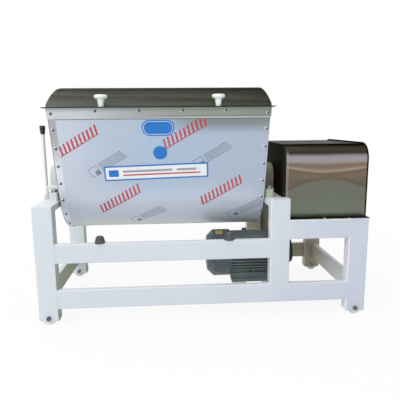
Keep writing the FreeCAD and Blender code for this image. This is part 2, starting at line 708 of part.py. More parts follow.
def shaft_bushes():
    """Bushes inside the trunnions, and a blind cap at the left."""
    inner = SHAFT_RADIUS + RUN_GAP
    cap = SHAFT_LEFT - SHAFT_END_GAP
    left_end = TROUGH_LEFT + END_PLATE
    right_end = TROUGH_RIGHT - END_PLATE
    left = turned_x([(LEFT_BLOCK_LEFT, 0), (LEFT_BLOCK_LEFT, TRUNNION_BORE), (left_end, TRUNNION_BORE),
                     (left_end, inner), (cap, inner), (cap, 0)], AXIS_Y, AXIS_Z)
    right = turned_x([(right_end, inner), (right_end, TRUNNION_BORE),
                      (RIGHT_BLOCK_RIGHT, TRUNNION_BORE), (RIGHT_BLOCK_RIGHT, inner)], AXIS_Y, AXIS_Z)
    return [left, right]


def lock_plate():
    """Round plate on the left end plate, with the hole for the lever's pin."""
    z = LEVER_PIN_Z - LOCK_HOLE_DROP
    plate = rod_x(LOCK_PLATE_RADIUS, LOCK_PLATE_LEFT, TROUGH_LEFT, LEVER_Y, z)
    return plate.cut(rod_x(LOCK_HOLE_RADIUS, LOCK_PLATE_LEFT - 1, TROUGH_LEFT + 1, LEVER_Y, z))


# Lid

def hinge_starts():
    """X of the left end of each three-knuckle hinge, midway between two band screws."""
    xs = band_screw_xs()
    half = 1.5 * HINGE_SEGMENT
    return ((xs[1] + xs[2]) / 2 - half, (xs[-3] + xs[-2]) / 2 - half)


def trough_hinge_leaves():
    """Fixed knuckles on the rear of the rim band."""
    leaves = []
    high = HINGE_Z - HINGE_PIN_RADIUS
    band_y = 2 * AXIS_Y - wall_y(TROUGH_RADIUS + BAND_SHEET, high)
    low = RIM_TOP - BAND_HEIGHT
    low_y = band_y - (high - low) * math.tan(LEAN)
    for start in hinge_starts():
        points = [Vector(start, band_y, high), Vector(start, low_y, low),
                  Vector(start, low_y + END_PLATE, low), Vector(start, band_y + END_PLATE, high - END_PLATE),
                  Vector(start, HINGE_Y, high - END_PLATE), Vector(start, HINGE_Y, high)]
        leaf = Part.Face(Part.makePolygon(points + points[:1])).extrude(Vector(3 * HINGE_SEGMENT, 0, 0))
        barrel = rod_x(HINGE_RADIUS, start, start + 3 * HINGE_SEGMENT, HINGE_Y, HINGE_Z)
        shape = fuse([leaf, barrel])
        middle = box(start + HINGE_SEGMENT, start + 2 * HINGE_SEGMENT, HINGE_Y - HINGE_RADIUS - 1,
                     HINGE_Y + HINGE_RADIUS + 1, HINGE_Z - 2 * HINGE_RADIUS, HINGE_Z + 2 * HINGE_RADIUS)
        bore = rod_x(HINGE_PIN_RADIUS + RUN_GAP, start - 1, start + 3 * HINGE_SEGMENT + 1, HINGE_Y, HINGE_Z)
        leaves.append(shape.cut(middle).cut(bore))
    return leaves


def lid_hinge_leaves():
    """Middle knuckles under the lid's flange, each with its pin."""
    leaves = []
    for start in hinge_starts():
        x0 = start + HINGE_SEGMENT + FIT_GAP
        x1 = start + 2 * HINGE_SEGMENT - FIT_GAP
        barrel = rod_x(HINGE_RADIUS, x0, x1, HINGE_Y, HINGE_Z)
        web = box(x0, x1, HINGE_Y - HINGE_RADIUS / 2, HINGE_Y + HINGE_RADIUS / 2, HINGE_Z, LID_BOTTOM)
        pin = rod_x(HINGE_PIN_RADIUS, start, start + 3 * HINGE_SEGMENT, HINGE_Y, HINGE_Z)
        leaves.append(fuse([barrel, web, pin]))
    return leaves


def vault_section(inset, x):
    """Closed outline of the lid's vault, moved in by the sheet for the inside."""
    y0 = VAULT_FRONT + inset
    y1 = 2 * AXIS_Y - y0
    low = LID_BOTTOM
    spring = LID_BOTTOM + LID_FLANGE + LID_SKIRT
    crown = Vector(x, AXIS_Y, LID_TOP - inset)
    edges = [
        Part.makeLine(Vector(x, y0, low), Vector(x, y0, spring)),
        Part.Arc(Vector(x, y0, spring), crown, Vector(x, y1, spring)).toShape(),
        Part.makeLine(Vector(x, y1, spring), Vector(x, y1, low)),
        Part.makeLine(Vector(x, y1, low), Vector(x, y0, low)),
    ]
    return Part.Face(Part.Wire(edges))


def lid_shell():
    """Barrel-vaulted lid: vault, two end walls and a flat flange all round."""
    x0 = TROUGH_LEFT - BAND_SHEET
    x1 = TROUGH_RIGHT + BAND_SHEET
    vault = vault_section(0, x0).extrude(Vector(x1 - x0, 0, 0))
    room = vault_section(SHEET, x0 + SHEET).extrude(Vector(x1 - x0 - 2 * SHEET, 0, 0))
    flange = box(TROUGH_LEFT - LID_OVERHANG_ENDS, TROUGH_RIGHT + LID_OVERHANG_ENDS,
                 AXIS_Y - LID_HALF, AXIS_Y + LID_HALF, LID_BOTTOM, LID_BOTTOM + LID_FLANGE)
    corners = [edge for edge in flange.Edges if along(edge, ALONG_Z)]
    flange = flange.makeFillet(LID_CORNER, corners)
    return fuse([vault, flange]).cut(room)


def knob_xs():
    """X of the two lid knobs."""
    first = TROUGH_LEFT + KNOB_LEFT_AT
    return (first, first + KNOB_SPACING)


def lid_knobs():
    """Mushroom knobs on the front flange of the lid."""
    knobs = []
    z0 = LID_BOTTOM + LID_FLANGE
    y = VAULT_FRONT - KNOB_STEM_RADIUS - LID_SEAT_GAP
    for x in knob_xs():
        top = z0 + KNOB_HEIGHT
        cap = top - KNOB_CAP
        points = [(0, z0), (KNOB_FOOT_RADIUS, z0), (KNOB_STEM_RADIUS, cap - KNOB_NECK),
                  (KNOB_RADIUS - KNOB_NECK * 2, cap), (KNOB_RADIUS, cap + KNOB_NECK),
                  (KNOB_RADIUS, top - KNOB_EDGE), (KNOB_RADIUS - KNOB_EDGE, top), (0, top)]
        knobs.append(turned_z(points, x, y))
    return knobs


# Mixing shaft

def mixing_shaft():
    """Shaft through both trunnions to the outboard bearing."""
    shaft = rod_x(SHAFT_RADIUS, SHAFT_LEFT, SHAFT_RIGHT, AXIS_Y, AXIS_Z)
    ends = [edge for edge in shaft.Edges if abs(edge.Length - 2 * math.pi * SHAFT_RADIUS) < 0.1]
    return shaft.makeChamfer(SHAFT_CHAMFER, ends)


def blade(x, turn):
    """One pitched blade on a split hub."""
    hub = rod_x(HUB_RADIUS, x - HUB_LENGTH / 2, x + HUB_LENGTH / 2, AXIS_Y, AXIS_Z)
    half_root = BLADE_ROOT_WIDTH / 2
    half_tip = BLADE_WIDTH / 2
    shoulder = AXIS_Z + BLADE_REACH - BLADE_HEAD
    tip = AXIS_Z + math.sqrt(BLADE_REACH ** 2 - half_tip ** 2)
    y0 = AXIS_Y - BLADE_THICKNESS / 2
    points = [Vector(x - half_root, y0, AXIS_Z), Vector(x + half_root, y0, AXIS_Z),
              Vector(x + half_root, y0, shoulder - half_root), Vector(x + half_tip, y0, shoulder),
              Vector(x + half_tip, y0, tip - half_root), Vector(x + half_root, y0, tip),
              Vector(x - half_root, y0, tip), Vector(x - half_tip, y0, tip - half_root),
              Vector(x - half_tip, y0, shoulder), Vector(x - half_root, y0, shoulder - half_root)]
    plate = Part.Face(Part.makePolygon(points + points[:1])).extrude(Vector(0, BLADE_THICKNESS, 0))
    plate.rotate(Vector(x, AXIS_Y, AXIS_Z), ALONG_Z, BLADE_PITCH_ANGLE)
    shape = fuse([hub, plate])
    shape = shape.cut(rod_x(SHAFT_RADIUS, x - BLADE_WIDTH, x + BLADE_WIDTH, AXIS_Y, AXIS_Z))
    shape.rotate(Vector(x, AXIS_Y, AXIS_Z), ALONG_X, turn)
    return shape


def mixing_blades():
    """Blades spaced along the trough, each turned on from the last."""
    first = TROUGH_LEFT + END_FLANGE + BLADE_WIDTH / 2 + SIDE_GAP
    last = TROUGH_RIGHT - END_FLANGE - BLADE_WIDTH / 2 - SIDE_GAP
    step = (last - first) / (BLADES - 1)
    return [blade(first + step * index, BLADE_STEP_ANGLE * index) for index in range(BLADES)]


# Gears

def gear_blank(teeth, centre_y, centre_z, x0, face, tooth_angle):
    """Toothed disc with involute flanks, one tooth centred on the given angle."""
    pitch_radius = MODULE * teeth / 2
    base_radius = pitch_radius * math.cos(math.radians(PRESSURE_ANGLE))
    root_radius = pitch_radius - ROOT_DEPTH * MODULE
    outer_radius = pitch_radius + MODULE
    pressure = math.radians(PRESSURE_ANGLE)
    middle = math.pi / (2 * teeth) - BACKLASH / (2 * pitch_radius) + math.tan(pressure) - pressure

    def half_angle(radius):
        angle = math.acos(min(1.0, base_radius / radius))
        return middle - math.tan(angle) + angle

    start = max(base_radius, root_radius)
    flank = [(root_radius, half_angle(start)), (start, half_angle(start)),
             (pitch_radius, half_angle(pitch_radius)), (outer_radius, half_angle(outer_radius))]
    if start == root_radius:
        flank = flank[1:]
    outline = []
    for index in range(teeth):
        centre = tooth_angle + 2 * math.pi * index / teeth
        rising = [(radius, centre - half) for radius, half in flank]
        falling = [(radius, centre + half) for radius, half in reversed(flank)]
        for radius, angle in rising + falling:
            outline.append(Vector(x0, centre_y + radius * math.cos(angle),
                                  centre_z + radius * math.sin(angle)))
    return Part.Face(Part.makePolygon(outline + outline[:1])).extrude(Vector(face, 0, 0))


MESH_ANGLE = math.radians(COUNTERSHAFT_ANGLE)


def large_gear():
    """Gear on the mixing shaft: thin web with round windows, thick hub."""
    gap_angle = MESH_ANGLE + math.pi / GEAR_TEETH
    gear = gear_blank(GEAR_TEETH, AXIS_Y, AXIS_Z, GEAR_LEFT, GEAR_FACE, gap_angle)
    rim_radius = GEAR_PITCH_RADIUS - ROOT_DEPTH * MODULE - GEAR_RIM
    side = (GEAR_FACE - GEAR_WEB) / 2
    for x0 in (GEAR_LEFT, GEAR_RIGHT - side):
        dish = rod_x(rim_radius, x0, x0 + side, AXIS_Y, AXIS_Z)
        gear = gear.cut(dish.cut(rod_x(GEAR_HUB_RADIUS, x0, x0 + side, AXIS_Y, AXIS_Z)))
    hub = rod_x(GEAR_HUB_RADIUS, GEAR_LEFT, GEAR_LEFT + GEAR_HUB_LENGTH, AXIS_Y, AXIS_Z)
    gear = fuse([gear, hub])
    ring = (rim_radius + GEAR_HUB_RADIUS) / 2
    for index in range(GEAR_WINDOWS):
        turn = 2 * math.pi * index / GEAR_WINDOWS
        hole = rod_x(GEAR_WINDOW_RADIUS, GEAR_LEFT - 1, GEAR_RIGHT + 1, AXIS_Y + ring * math.cos(turn),
                     AXIS_Z + ring * math.sin(turn))
        gear = gear.cut(hole)
    bore = rod_x(SHAFT_RADIUS, GEAR_LEFT - 1, GEAR_LEFT + GEAR_HUB_LENGTH + 1, AXIS_Y, AXIS_Z)
    return gear.cut(bore)


def drive_pinion():
    """Pinion on the countershaft, with a short hub."""
    pinion = gear_blank(PINION_TEETH, COUNTER_Y, COUNTER_Z, PINION_LEFT, PINION_FACE, MESH_ANGLE + math.pi)
    hub_radius = PINION_PITCH_RADIUS - ROOT_DEPTH * MODULE
    hub = rod_x(hub_radius, PINION_LEFT, PINION_RIGHT + PINION_HUB_LENGTH, COUNTER_Y, COUNTER_Z)
    bore = rod_x(COUNTERSHAFT_RADIUS, PINION_LEFT - 1, PINION_RIGHT + PINION_HUB_LENGTH + 1,
                 COUNTER_Y, COUNTER_Z)
    return fuse([pinion, hub]).cut(bore)


def countershaft():
    """Shaft of the driven pulley and the pinion."""
    return rod_x(COUNTERSHAFT_RADIUS, COUNTER_LEFT, COUNTER_RIGHT, COUNTER_Y, COUNTER_Z)


# Belt drive

def groove_centres():
    """X of the two belt grooves."""
    middle = (PULLEY_LEFT + PULLEY_RIGHT) / 2
    return (middle - GROOVE_PITCH / 2, middle + GROOVE_PITCH / 2)


def grooved_rim(radius):
    """Outline points of a rim with two V grooves, from left to right."""
    half_top = BELT_WIDTH / 2 + BELT_GAP
    half_low = half_top - BELT_SLANT
    floor = radius + BELT_PROUD - BELT_HEIGHT - GROOVE_ROOT_GAP
    points = [(PULLEY_LEFT, radius)]
    for centre in groove_centres():
        points += [(centre - half_top, radius), (centre - half_low, floor),
                   (centre + half_low, floor), (centre + half_top, radius)]
    points.append((PULLEY_RIGHT, radius))
    return points


def motor_pulley():
    """Small solid pulley on the motor shaft."""
    points = [(PULLEY_LEFT, MOTOR_SHAFT_RADIUS)] + grooved_rim(MOTOR_PULLEY_RADIUS)
    points.append((PULLEY_RIGHT, MOTOR_SHAFT_RADIUS))
    return turned_x(points, MOTOR_Y, MOTOR_Z)


def driven_pulley():
    """Large pulley on the countershaft: rim, thin web, hub."""
    rim_inside = DRIVEN_PULLEY_RADIUS - PULLEY_RIM
    middle = (PULLEY_LEFT + PULLEY_RIGHT) / 2
    half = PULLEY_WEB / 2
    points = [(PULLEY_LEFT, COUNTERSHAFT_RADIUS), (PULLEY_LEFT, PULLEY_HUB_RADIUS),
              (middle - half, PULLEY_HUB_RADIUS), (middle - half, rim_inside), (PULLEY_LEFT, rim_inside)]
    points += grooved_rim(DRIVEN_PULLEY_RADIUS)
    points += [(PULLEY_RIGHT, rim_inside), (middle + half, rim_inside), (middle + half, PULLEY_HUB_RADIUS),
               (PULLEY_RIGHT, PULLEY_HUB_RADIUS), (PULLEY_RIGHT, COUNTERSHAFT_RADIUS)]
    return turned_x(points, COUNTER_Y, COUNTER_Z)


def belt_section(x, y, z, radius, turn):
    """Trapezoid of one belt at an angle round a pulley."""
    outer = radius + BELT_PROUD
    inner = outer - BELT_HEIGHT
    half_outer = BELT_WIDTH / 2
    half_inner = half_outer - BELT_SLANT
    out = Vector(0, math.cos(turn), math.sin(turn))
    centre = Vector(x, y, z)
    points = [centre + out * outer + ALONG_X * half_outer, centre + out * outer - ALONG_X * half_outer,
              centre + out * inner - ALONG_X * half_inner, centre + out * inner + ALONG_X * half_inner]
    return Part.Face(Part.makePolygon(points + points[:1]))


def v_belts():
    """Two V-belts round both pulleys."""
    span_y = COUNTER_Y - MOTOR_Y
    span_z = COUNTER_Z - MOTOR_Z
    distance = math.hypot(span_y, span_z)
    heading = math.atan2(span_z, span_y)
    spread = math.asin((DRIVEN_PULLEY_RADIUS - MOTOR_PULLEY_RADIUS) / distance)
    upper = heading + math.pi / 2 + spread
    lower = heading - math.pi / 2 - spread
    run = math.sqrt(distance ** 2 - (DRIVEN_PULLEY_RADIUS - MOTOR_PULLEY_RADIUS) ** 2)
    belts = []
    for x in groove_centres():
        pieces = []
        big_start = belt_section(x, COUNTER_Y, COUNTER_Z, DRIVEN_PULLEY_RADIUS, lower)
        big_wrap = math.degrees(upper - lower)
        pieces.append(big_start.revolve(Vector(x, COUNTER_Y, COUNTER_Z), ALONG_X, big_wrap))
        small_start = belt_section(x, MOTOR_Y, MOTOR_Z, MOTOR_PULLEY_RADIUS, upper)
        small_wrap = 360 - big_wrap
        pieces.append(small_start.revolve(Vector(x, MOTOR_Y, MOTOR_Z), ALONG_X, small_wrap))
        for turn, side in ((upper, -1), (lower, 1)):
            start = belt_section(x, MOTOR_Y, MOTOR_Z, MOTOR_PULLEY_RADIUS, turn)
            heading_run = Vector(0, math.sin(turn), -math.cos(turn)) * -side
            pieces.append(start.extrude(heading_run * run))
        belts.append(fuse(pieces))
    return belts


# Bearing blocks under the cover

def small_block(x0):
    """Countershaft bearing block on its flat member."""
    x1 = x0 + BLOCK_WIDTH
    body = rod_x(BLOCK_RADIUS, x0, x1, COUNTER_Y, COUNTER_Z)
    base = box(x0, x1, COUNTER_Y - BLOCK_RADIUS, COUNTER_Y + BLOCK_RADIUS, STEP_TOP, COUNTER_Z)
    foot = box(x0, x1, COUNTER_Y - BLOCK_FOOT_HALF, COUNTER_Y + BLOCK_FOOT_HALF, STEP_TOP,
               STEP_TOP + BLOCK_FOOT_HEIGHT)
    bore = rod_x(COUNTERSHAFT_RADIUS + RUN_GAP, x0 - 1, x1 + 1, COUNTER_Y, COUNTER_Z)
    return fuse([body, base, foot]).cut(bore)


def outboard_block():
    """Pedestal bearing at the drive end of the mixing shaft."""
    half = BEARING_RADIUS
    head = rod_x(half, OUTBOARD_LEFT, OUTBOARD_RIGHT, AXIS_Y, AXIS_Z)
    column = box(OUTBOARD_LEFT, OUTBOARD_RIGHT, AXIS_Y - half, AXIS_Y + half, STEP_TOP, AXIS_Z)
    foot = box(OUTBOARD_LEFT, OUTBOARD_RIGHT, AXIS_Y - 2 * half, AXIS_Y + 2 * half, STEP_TOP,
               STEP_TOP + BLOCK_FOOT_HEIGHT)
    bore = rod_x(SHAFT_RADIUS + RUN_GAP, OUTBOARD_LEFT - 1, OUTBOARD_RIGHT + 1, AXIS_Y, AXIS_Z)
    return fuse([head, column, foot]).cut(bore)


# Motor

def motor_fins():
    """Cooling fins: level ribs on both sides, upright ribs above and below."""
    count = int(MOTOR_FINNED_HALF / MOTOR_FIN_STEP)
    half = MOTOR_FIN_WIDTH / 2
    fins = []
    for index in range(-count, count + 1):
        offset = index * MOTOR_FIN_STEP
        edge = abs(offset) + half
        reach = math.sqrt(MOTOR_FIN_RADIUS ** 2 - edge ** 2)
        fins.append(box(BODY_LEFT, SHIELD_LEFT, MOTOR_Y - reach, MOTOR_Y + reach,
                        MOTOR_Z + offset - half, MOTOR_Z + offset + half))
        if abs(index) < count:
            rise = math.sqrt(TOP_FIN_RADIUS ** 2 - edge ** 2)
            fins.append(box(BODY_LEFT, SHIELD_LEFT, MOTOR_Y + offset - half,
                            MOTOR_Y + offset + half, MOTOR_Z - rise, MOTOR_Z + rise))
    return fins


def motor_feet():
    """Cast feet along both sides, with raised pads at their ends."""
    feet = []
    length = SHIELD_LEFT - BODY_LEFT
    for side in (-1, 1):
        outer = MOTOR_Y + side * MOTOR_FOOT_HALF
        inner = outer - side * MOTOR_FOOT_WIDTH
        feet.append(box(BODY_LEFT, SHIELD_LEFT, min(outer, inner), max(outer, inner),
                        MOTOR_SEAT, MOTOR_SEAT + MOTOR_FOOT_THICK))
        for start, end in MOTOR_PADS:
            x0 = BODY_LEFT + length * start
            x1 = BODY_LEFT + length * end
            edge = outer - side * MOTOR_PAD_INSET
            root = edge - side * MOTOR_PAD_DEPTH
            feet.append(box(x0, x1, min(edge, root), max(edge, root),
                            MOTOR_SEAT, MOTOR_SEAT + MOTOR_PAD_RISE))
    return feet


def motor_housing():
    """Finned body with feet, a lifting boss and a flat at the rear for the terminal box."""
    body = rod_x(MOTOR_BODY_RADIUS, BODY_LEFT, SHIELD_LEFT, MOTOR_Y, MOTOR_Z)
    boss = rod_z(LIFT_BOSS_RADIUS, MOTOR_Z, MOTOR_Z + COWL_RADIUS, BODY_LEFT + LIFT_BOSS_AT, MOTOR_Y)
    shape = fuse([body, boss] + motor_fins() + motor_feet())
    x0, x1, z0, z1 = terminal_edges()
    shape = shape.cut(box(x0 - FIT_GAP, x1 + FIT_GAP, MOTOR_FLAT_Y, MOTOR_Y + MOTOR_FIN_RADIUS,
                          z0 - FIT_GAP, z1 + FIT_GAP))
    bore = rod_x(MOTOR_SHAFT_RADIUS + SIDE_GAP, BODY_LEFT - 1, SHIELD_LEFT + 1, MOTOR_Y, MOTOR_Z)
    shape = shape.cut(bore)
    for x, y in motor_hole_places():
        shape = shape.cut(rod_z(MOTOR_BOLT_RADIUS + FIT_GAP, MOTOR_SEAT - 1,
                                MOTOR_SEAT + MOTOR_FOOT_THICK + 1, x, y))
    return shape


def motor_end_shield():
    """Drive-end shield with the shaft hole and a raised boss."""
    rim = MOTOR_BODY_RADIUS + SHIELD_PROUD
    bore = MOTOR_SHAFT_RADIUS + RUN_GAP
    dish = SHIELD_LEFT + SHIELD_RIM + SHIELD_SLOPE
    points = [(SHIELD_LEFT, bore), (SHIELD_LEFT, rim), (SHIELD_LEFT + SHIELD_RIM, rim),
              (dish, rim - SHIELD_STEP), (dish, SHIELD_BOSS_RADIUS), (SHIELD_RIGHT, SHIELD_BOSS_RADIUS),
              (SHIELD_RIGHT, bore)]
    return turned_x(points, MOTOR_Y, MOTOR_Z)


def motor_fan_cover():
    """Pressed cowl over the fan, with slots in its closed end."""
    flat = COWL_RADIUS - COWL_CHAMFER
    straight = COWL_LEFT + COWL_CHAMFER
    points = [(COWL_LEFT, 0), (COWL_LEFT, flat), (straight, COWL_RADIUS), (BODY_LEFT, COWL_RADIUS),
              (BODY_LEFT, COWL_RADIUS - COWL_SHEET), (straight, COWL_RADIUS - COWL_SHEET),
              (COWL_LEFT + COWL_SHEET, flat - COWL_SHEET / 2), (COWL_LEFT + COWL_SHEET, 0)]
    cowl = turned_x(points, MOTOR_Y, MOTOR_Z)
    half = COWL_SLOT_WIDTH / 2
    for index in range(COWL_SLOTS):
        slot = box(COWL_LEFT - 1, COWL_LEFT + COWL_SHEET + 1, MOTOR_Y - half, MOTOR_Y + half,
                   MOTOR_Z + COWL_HUB_RADIUS, MOTOR_Z + flat - COWL_SLOT_WIDTH)
        slot.rotate(Vector(COWL_LEFT, MOTOR_Y, MOTOR_Z), ALONG_X, 360 / COWL_SLOTS * index)
        cowl = cowl.cut(slot)
    return cowl


def terminal_edges():
    """Edges of the terminal box along X and Z."""
    middle = (BODY_LEFT + SHIELD_LEFT) / 2
    return (middle - TERMINAL_LENGTH / 2, middle + TERMINAL_LENGTH / 2,
            MOTOR_Z - TERMINAL_WIDTH / 2, MOTOR_Z + TERMINAL_WIDTH / 2)


def terminal_box():
    """Connection box on the rear flat of the motor."""
    x0, x1, z0, z1 = terminal_edges()
    base = box(x0, x1, MOTOR_FLAT_Y, MOTOR_FLAT_Y + TERMINAL_HEIGHT, z0, z1)
    corners = [edge for edge in base.Edges if along(edge, ALONG_Y)]
    return base.makeFillet(TERMINAL_CORNER, corners)


def motor_bolts():
    """Foot bolts screwed into the rails under the motor."""
    bolts = []
    seat = MOTOR_SEAT + MOTOR_FOOT_THICK
    for x, y in motor_hole_places():
        head = hex_head(MOTOR_BOLT_ACROSS, MOTOR_BOLT_HEAD, (x, y, seat), (0, 0, 1))
        shank = rod_z(MOTOR_BOLT_RADIUS, MOTOR_SEAT - RAIL_THICKNESS / 2, seat, x, y)
        bolts.append(fuse([head, shank]))
    return bolts


def motor_shaft():
    """Rotor shaft from the fan to the pulley."""
    return rod_x(MOTOR_SHAFT_RADIUS, COWL_LEFT + COWL_CHAMFER, MOTOR_SHAFT_END, MOTOR_Y, MOTOR_Z)


def motor_fan():
    """Cooling fan with straight blades on a disc."""
    x0 = COWL_LEFT + COWL_CHAMFER + FAN_END_GAP
    x1 = x0 + FAN_LENGTH
    tip = COWL_RADIUS - FAN_TIP_GAP
    half = FAN_THICK / 2
    hub = rod_x(MOTOR_SHAFT_RADIUS + FAN_HUB_WALL, x0, x1, MOTOR_Y, MOTOR_Z)
    disc = rod_x(tip, x1 - FAN_THICK, x1, MOTOR_Y, MOTOR_Z)
    pieces = [hub, disc]
    for index in range(FAN_VANES):
        vane = box(x0, x1, MOTOR_Y - half, MOTOR_Y + half,
                   MOTOR_Z + MOTOR_SHAFT_RADIUS + FAN_HUB_WALL / 2, MOTOR_Z + tip - FAN_THICK)
        vane.rotate(Vector(x0, MOTOR_Y, MOTOR_Z), ALONG_X, 360 * index / FAN_VANES)
        pieces.append(vane)
    return fuse(pieces).cut(rod_x(MOTOR_SHAFT_RADIUS, x0 - 1, x1 + 1, MOTOR_Y, MOTOR_Z))


# Drive cover

def cover_block(inset, x0, x1, low):
    """Closed block with rounded upper edges, moved in by the sheet for the inside."""
    y0 = COVER_FRONT + inset
    y1 = COVER_REAR - inset
    top = COVER_TOP - inset
    radius = COVER_CORNER - inset
    slant = radius * (1 - math.sqrt(0.5))
    edges = [
        Part.makeLine(Vector(x0, y0, low), Vector(x0, y0, top - radius)),
        Part.Arc(Vector(x0, y0, top - radius), Vector(x0, y0 + slant, top - slant),
                 Vector(x0, y0 + radius, top)).toShape(),
        Part.makeLine(Vector(x0, y0 + radius, top), Vector(x0, y1 - radius, top)),
        Part.Arc(Vector(x0, y1 - radius, top), Vector(x0, y1 - slant, top - slant),
                 Vector(x0, y1, top - radius)).toShape(),
        Part.makeLine(Vector(x0, y1, top - radius), Vector(x0, y1, low)),
        Part.makeLine(Vector(x0, y1, low), Vector(x0, y0, low)),
    ]
    return Part.Face(Part.Wire(edges)).extrude(Vector(x1 - x0, 0, 0))


def drive_cover():
    """Sheet cover over the gears, open below, with flanges on the step rails and a lipped end."""
    outer = cover_block(0, COVER_LEFT, COVER_RIGHT, STEP_TOP)
    room = cover_block(COVER_SHEET, COVER_LEFT + COVER_SHEET, COVER_RIGHT - COVER_SHEET, STEP_TOP)
    shape = outer.cut(room)
    flanges = []
    for y0, y1 in ((COVER_FRONT - COVER_FLANGE, COVER_FRONT), (COVER_REAR, COVER_REAR + COVER_FLANGE)):
        flanges.append(box(MID_POST_RIGHT + FIT_GAP, COVER_RIGHT, y0, y1, STEP_TOP, STEP_TOP + COVER_SHEET))
    lip = cover_block(-COVER_LIP, COVER_RIGHT - COVER_SHEET, COVER_RIGHT, STEP_TOP)
    shape = fuse([shape, lip] + flanges)
    notch_top = LEFT_LEG_TOP + FIT_GAP
    shape = shape.cut(box(COVER_LEFT - 1, MID_POST_RIGHT + FIT_GAP, LEG_DEPTH, REAR_LEG_FRONT,
                          STEP_TOP - 1, notch_top))
    slot = SHAFT_RADIUS + COVER_SHAFT_GAP
    shape = shape.cut(box(COVER_LEFT - 1, COVER_LEFT + COVER_SHEET + 1, AXIS_Y - slot, AXIS_Y + slot,
                          notch_top - 1, AXIS_Z))
    return shape.cut(rod_x(slot, COVER_LEFT - 1, COVER_LEFT + COVER_SHEET + 1, AXIS_Y, AXIS_Z))


def belt_guard():
    """Sheet that hangs beside the middle top member and hides the belts."""
    rear = COVER_REAR - COVER_SHEET - FIT_GAP
    return box(GUARD_LEFT, GUARD_RIGHT, AXIS_Y - GUARD_START, rear, STEP_TOP - GUARD_DROP,
               LEFT_LEG_TOP - TUBE_CORNER)


def cover_screws():
    """One screw through each flange of the cover."""
    x = MID_POST_RIGHT + (FRAME_LENGTH - MID_POST_RIGHT) * COVER_SCREW_SHARE
    places = (RAIL_THICKNESS / 2, FRAME_DEPTH - RAIL_THICKNESS / 2)
    return [screw((x, y, STEP_TOP + COVER_SHEET), (0, 0, 1)) for y in places]


# Lock lever

def lever_bracket():
    """Two ears on a small plate, with the pivot bolt through them."""
    x = LEVER_FROM_LEFT
    y = LEVER_Y
    z0 = LEFT_LEG_TOP
    inside = LEVER_RADIUS + FIT_GAP
    outside = inside + LEVER_EAR
    half = LEVER_EYE_RADIUS
    plate = box(x - LEVER_PLATE_HALF, x + LEVER_PLATE_HALF, y - outside, y + outside, z0, z0 + TUBE_WALL)
    pieces = [plate]
    for y0 in (y - outside, y + inside):
        pieces.append(box(x - half, x + half, y0, y0 + LEVER_EAR, z0, LEVER_PIVOT_Z))
        pieces.append(rod_y(half, y0, y0 + LEVER_EAR, x, LEVER_PIVOT_Z))
    pieces.append(rod_y(LEVER_BOLT_RADIUS, y - outside, y + outside, x, LEVER_PIVOT_Z))
    for side in (-1, 1):
        seat = (x, y + side * outside, LEVER_PIVOT_Z)
        pieces.append(hex_head(LEVER_BOLT_ACROSS, LEVER_BOLT_HEAD, seat, (0, side, 0)))
    return fuse(pieces)


def lock_lever():
    """Lever rod on a pivot eye, with the lock pin welded across it."""
    x = LEVER_FROM_LEFT
    y = LEVER_Y
    pin_end = LOCK_PLATE_LEFT - LOCK_SEAT_GAP
    eye = rod_y(LEVER_EYE_RADIUS, y - LEVER_RADIUS, y + LEVER_RADIUS, x, LEVER_PIVOT_Z)
    rod = rod_z(LEVER_ROD_RADIUS, LEVER_PIVOT_Z, LEFT_LEG_TOP + LEVER_TOP_RISE, x, y)
    pin = rod_x(LEVER_PIN_RADIUS, x, pin_end, y, LEVER_PIN_Z)
    tip = [edge for edge in pin.Edges if edge.Closed and abs(edge.CenterOfMass.x - pin_end) < LOCK_SEAT_GAP]
    pin = pin.makeChamfer(LEVER_PIN_CHAMFER, tip)
    bore = rod_y(LEVER_BOLT_RADIUS + RUN_GAP, y - LEVER_RADIUS, y + LEVER_RADIUS, x, LEVER_PIVOT_Z)
    return fuse([eye, rod, pin]).cut(bore)


def lever_grip():
    """Tapered grip, wider at the top, pushed over the rod."""
    top = LEFT_LEG_TOP + LEVER_TOP_RISE
    bottom = top - GRIP_LENGTH
    points = [(LEVER_ROD_RADIUS, bottom), (GRIP_END_RADIUS, bottom), (GRIP_TOP_RADIUS, top - GRIP_BEVEL),
              (GRIP_CAP_RADIUS, top + GRIP_CAP), (0, top + GRIP_CAP), (0, top), (LEVER_ROD_RADIUS, top)]
    return turned_z(points, LEVER_FROM_LEFT, LEVER_Y)


# Nodes

LOWER_LEFT = LOWER_CROSS_INSET
LOWER_RIGHT = FRAME_LENGTH - LOWER_CROSS_INSET - RAIL_THICKNESS

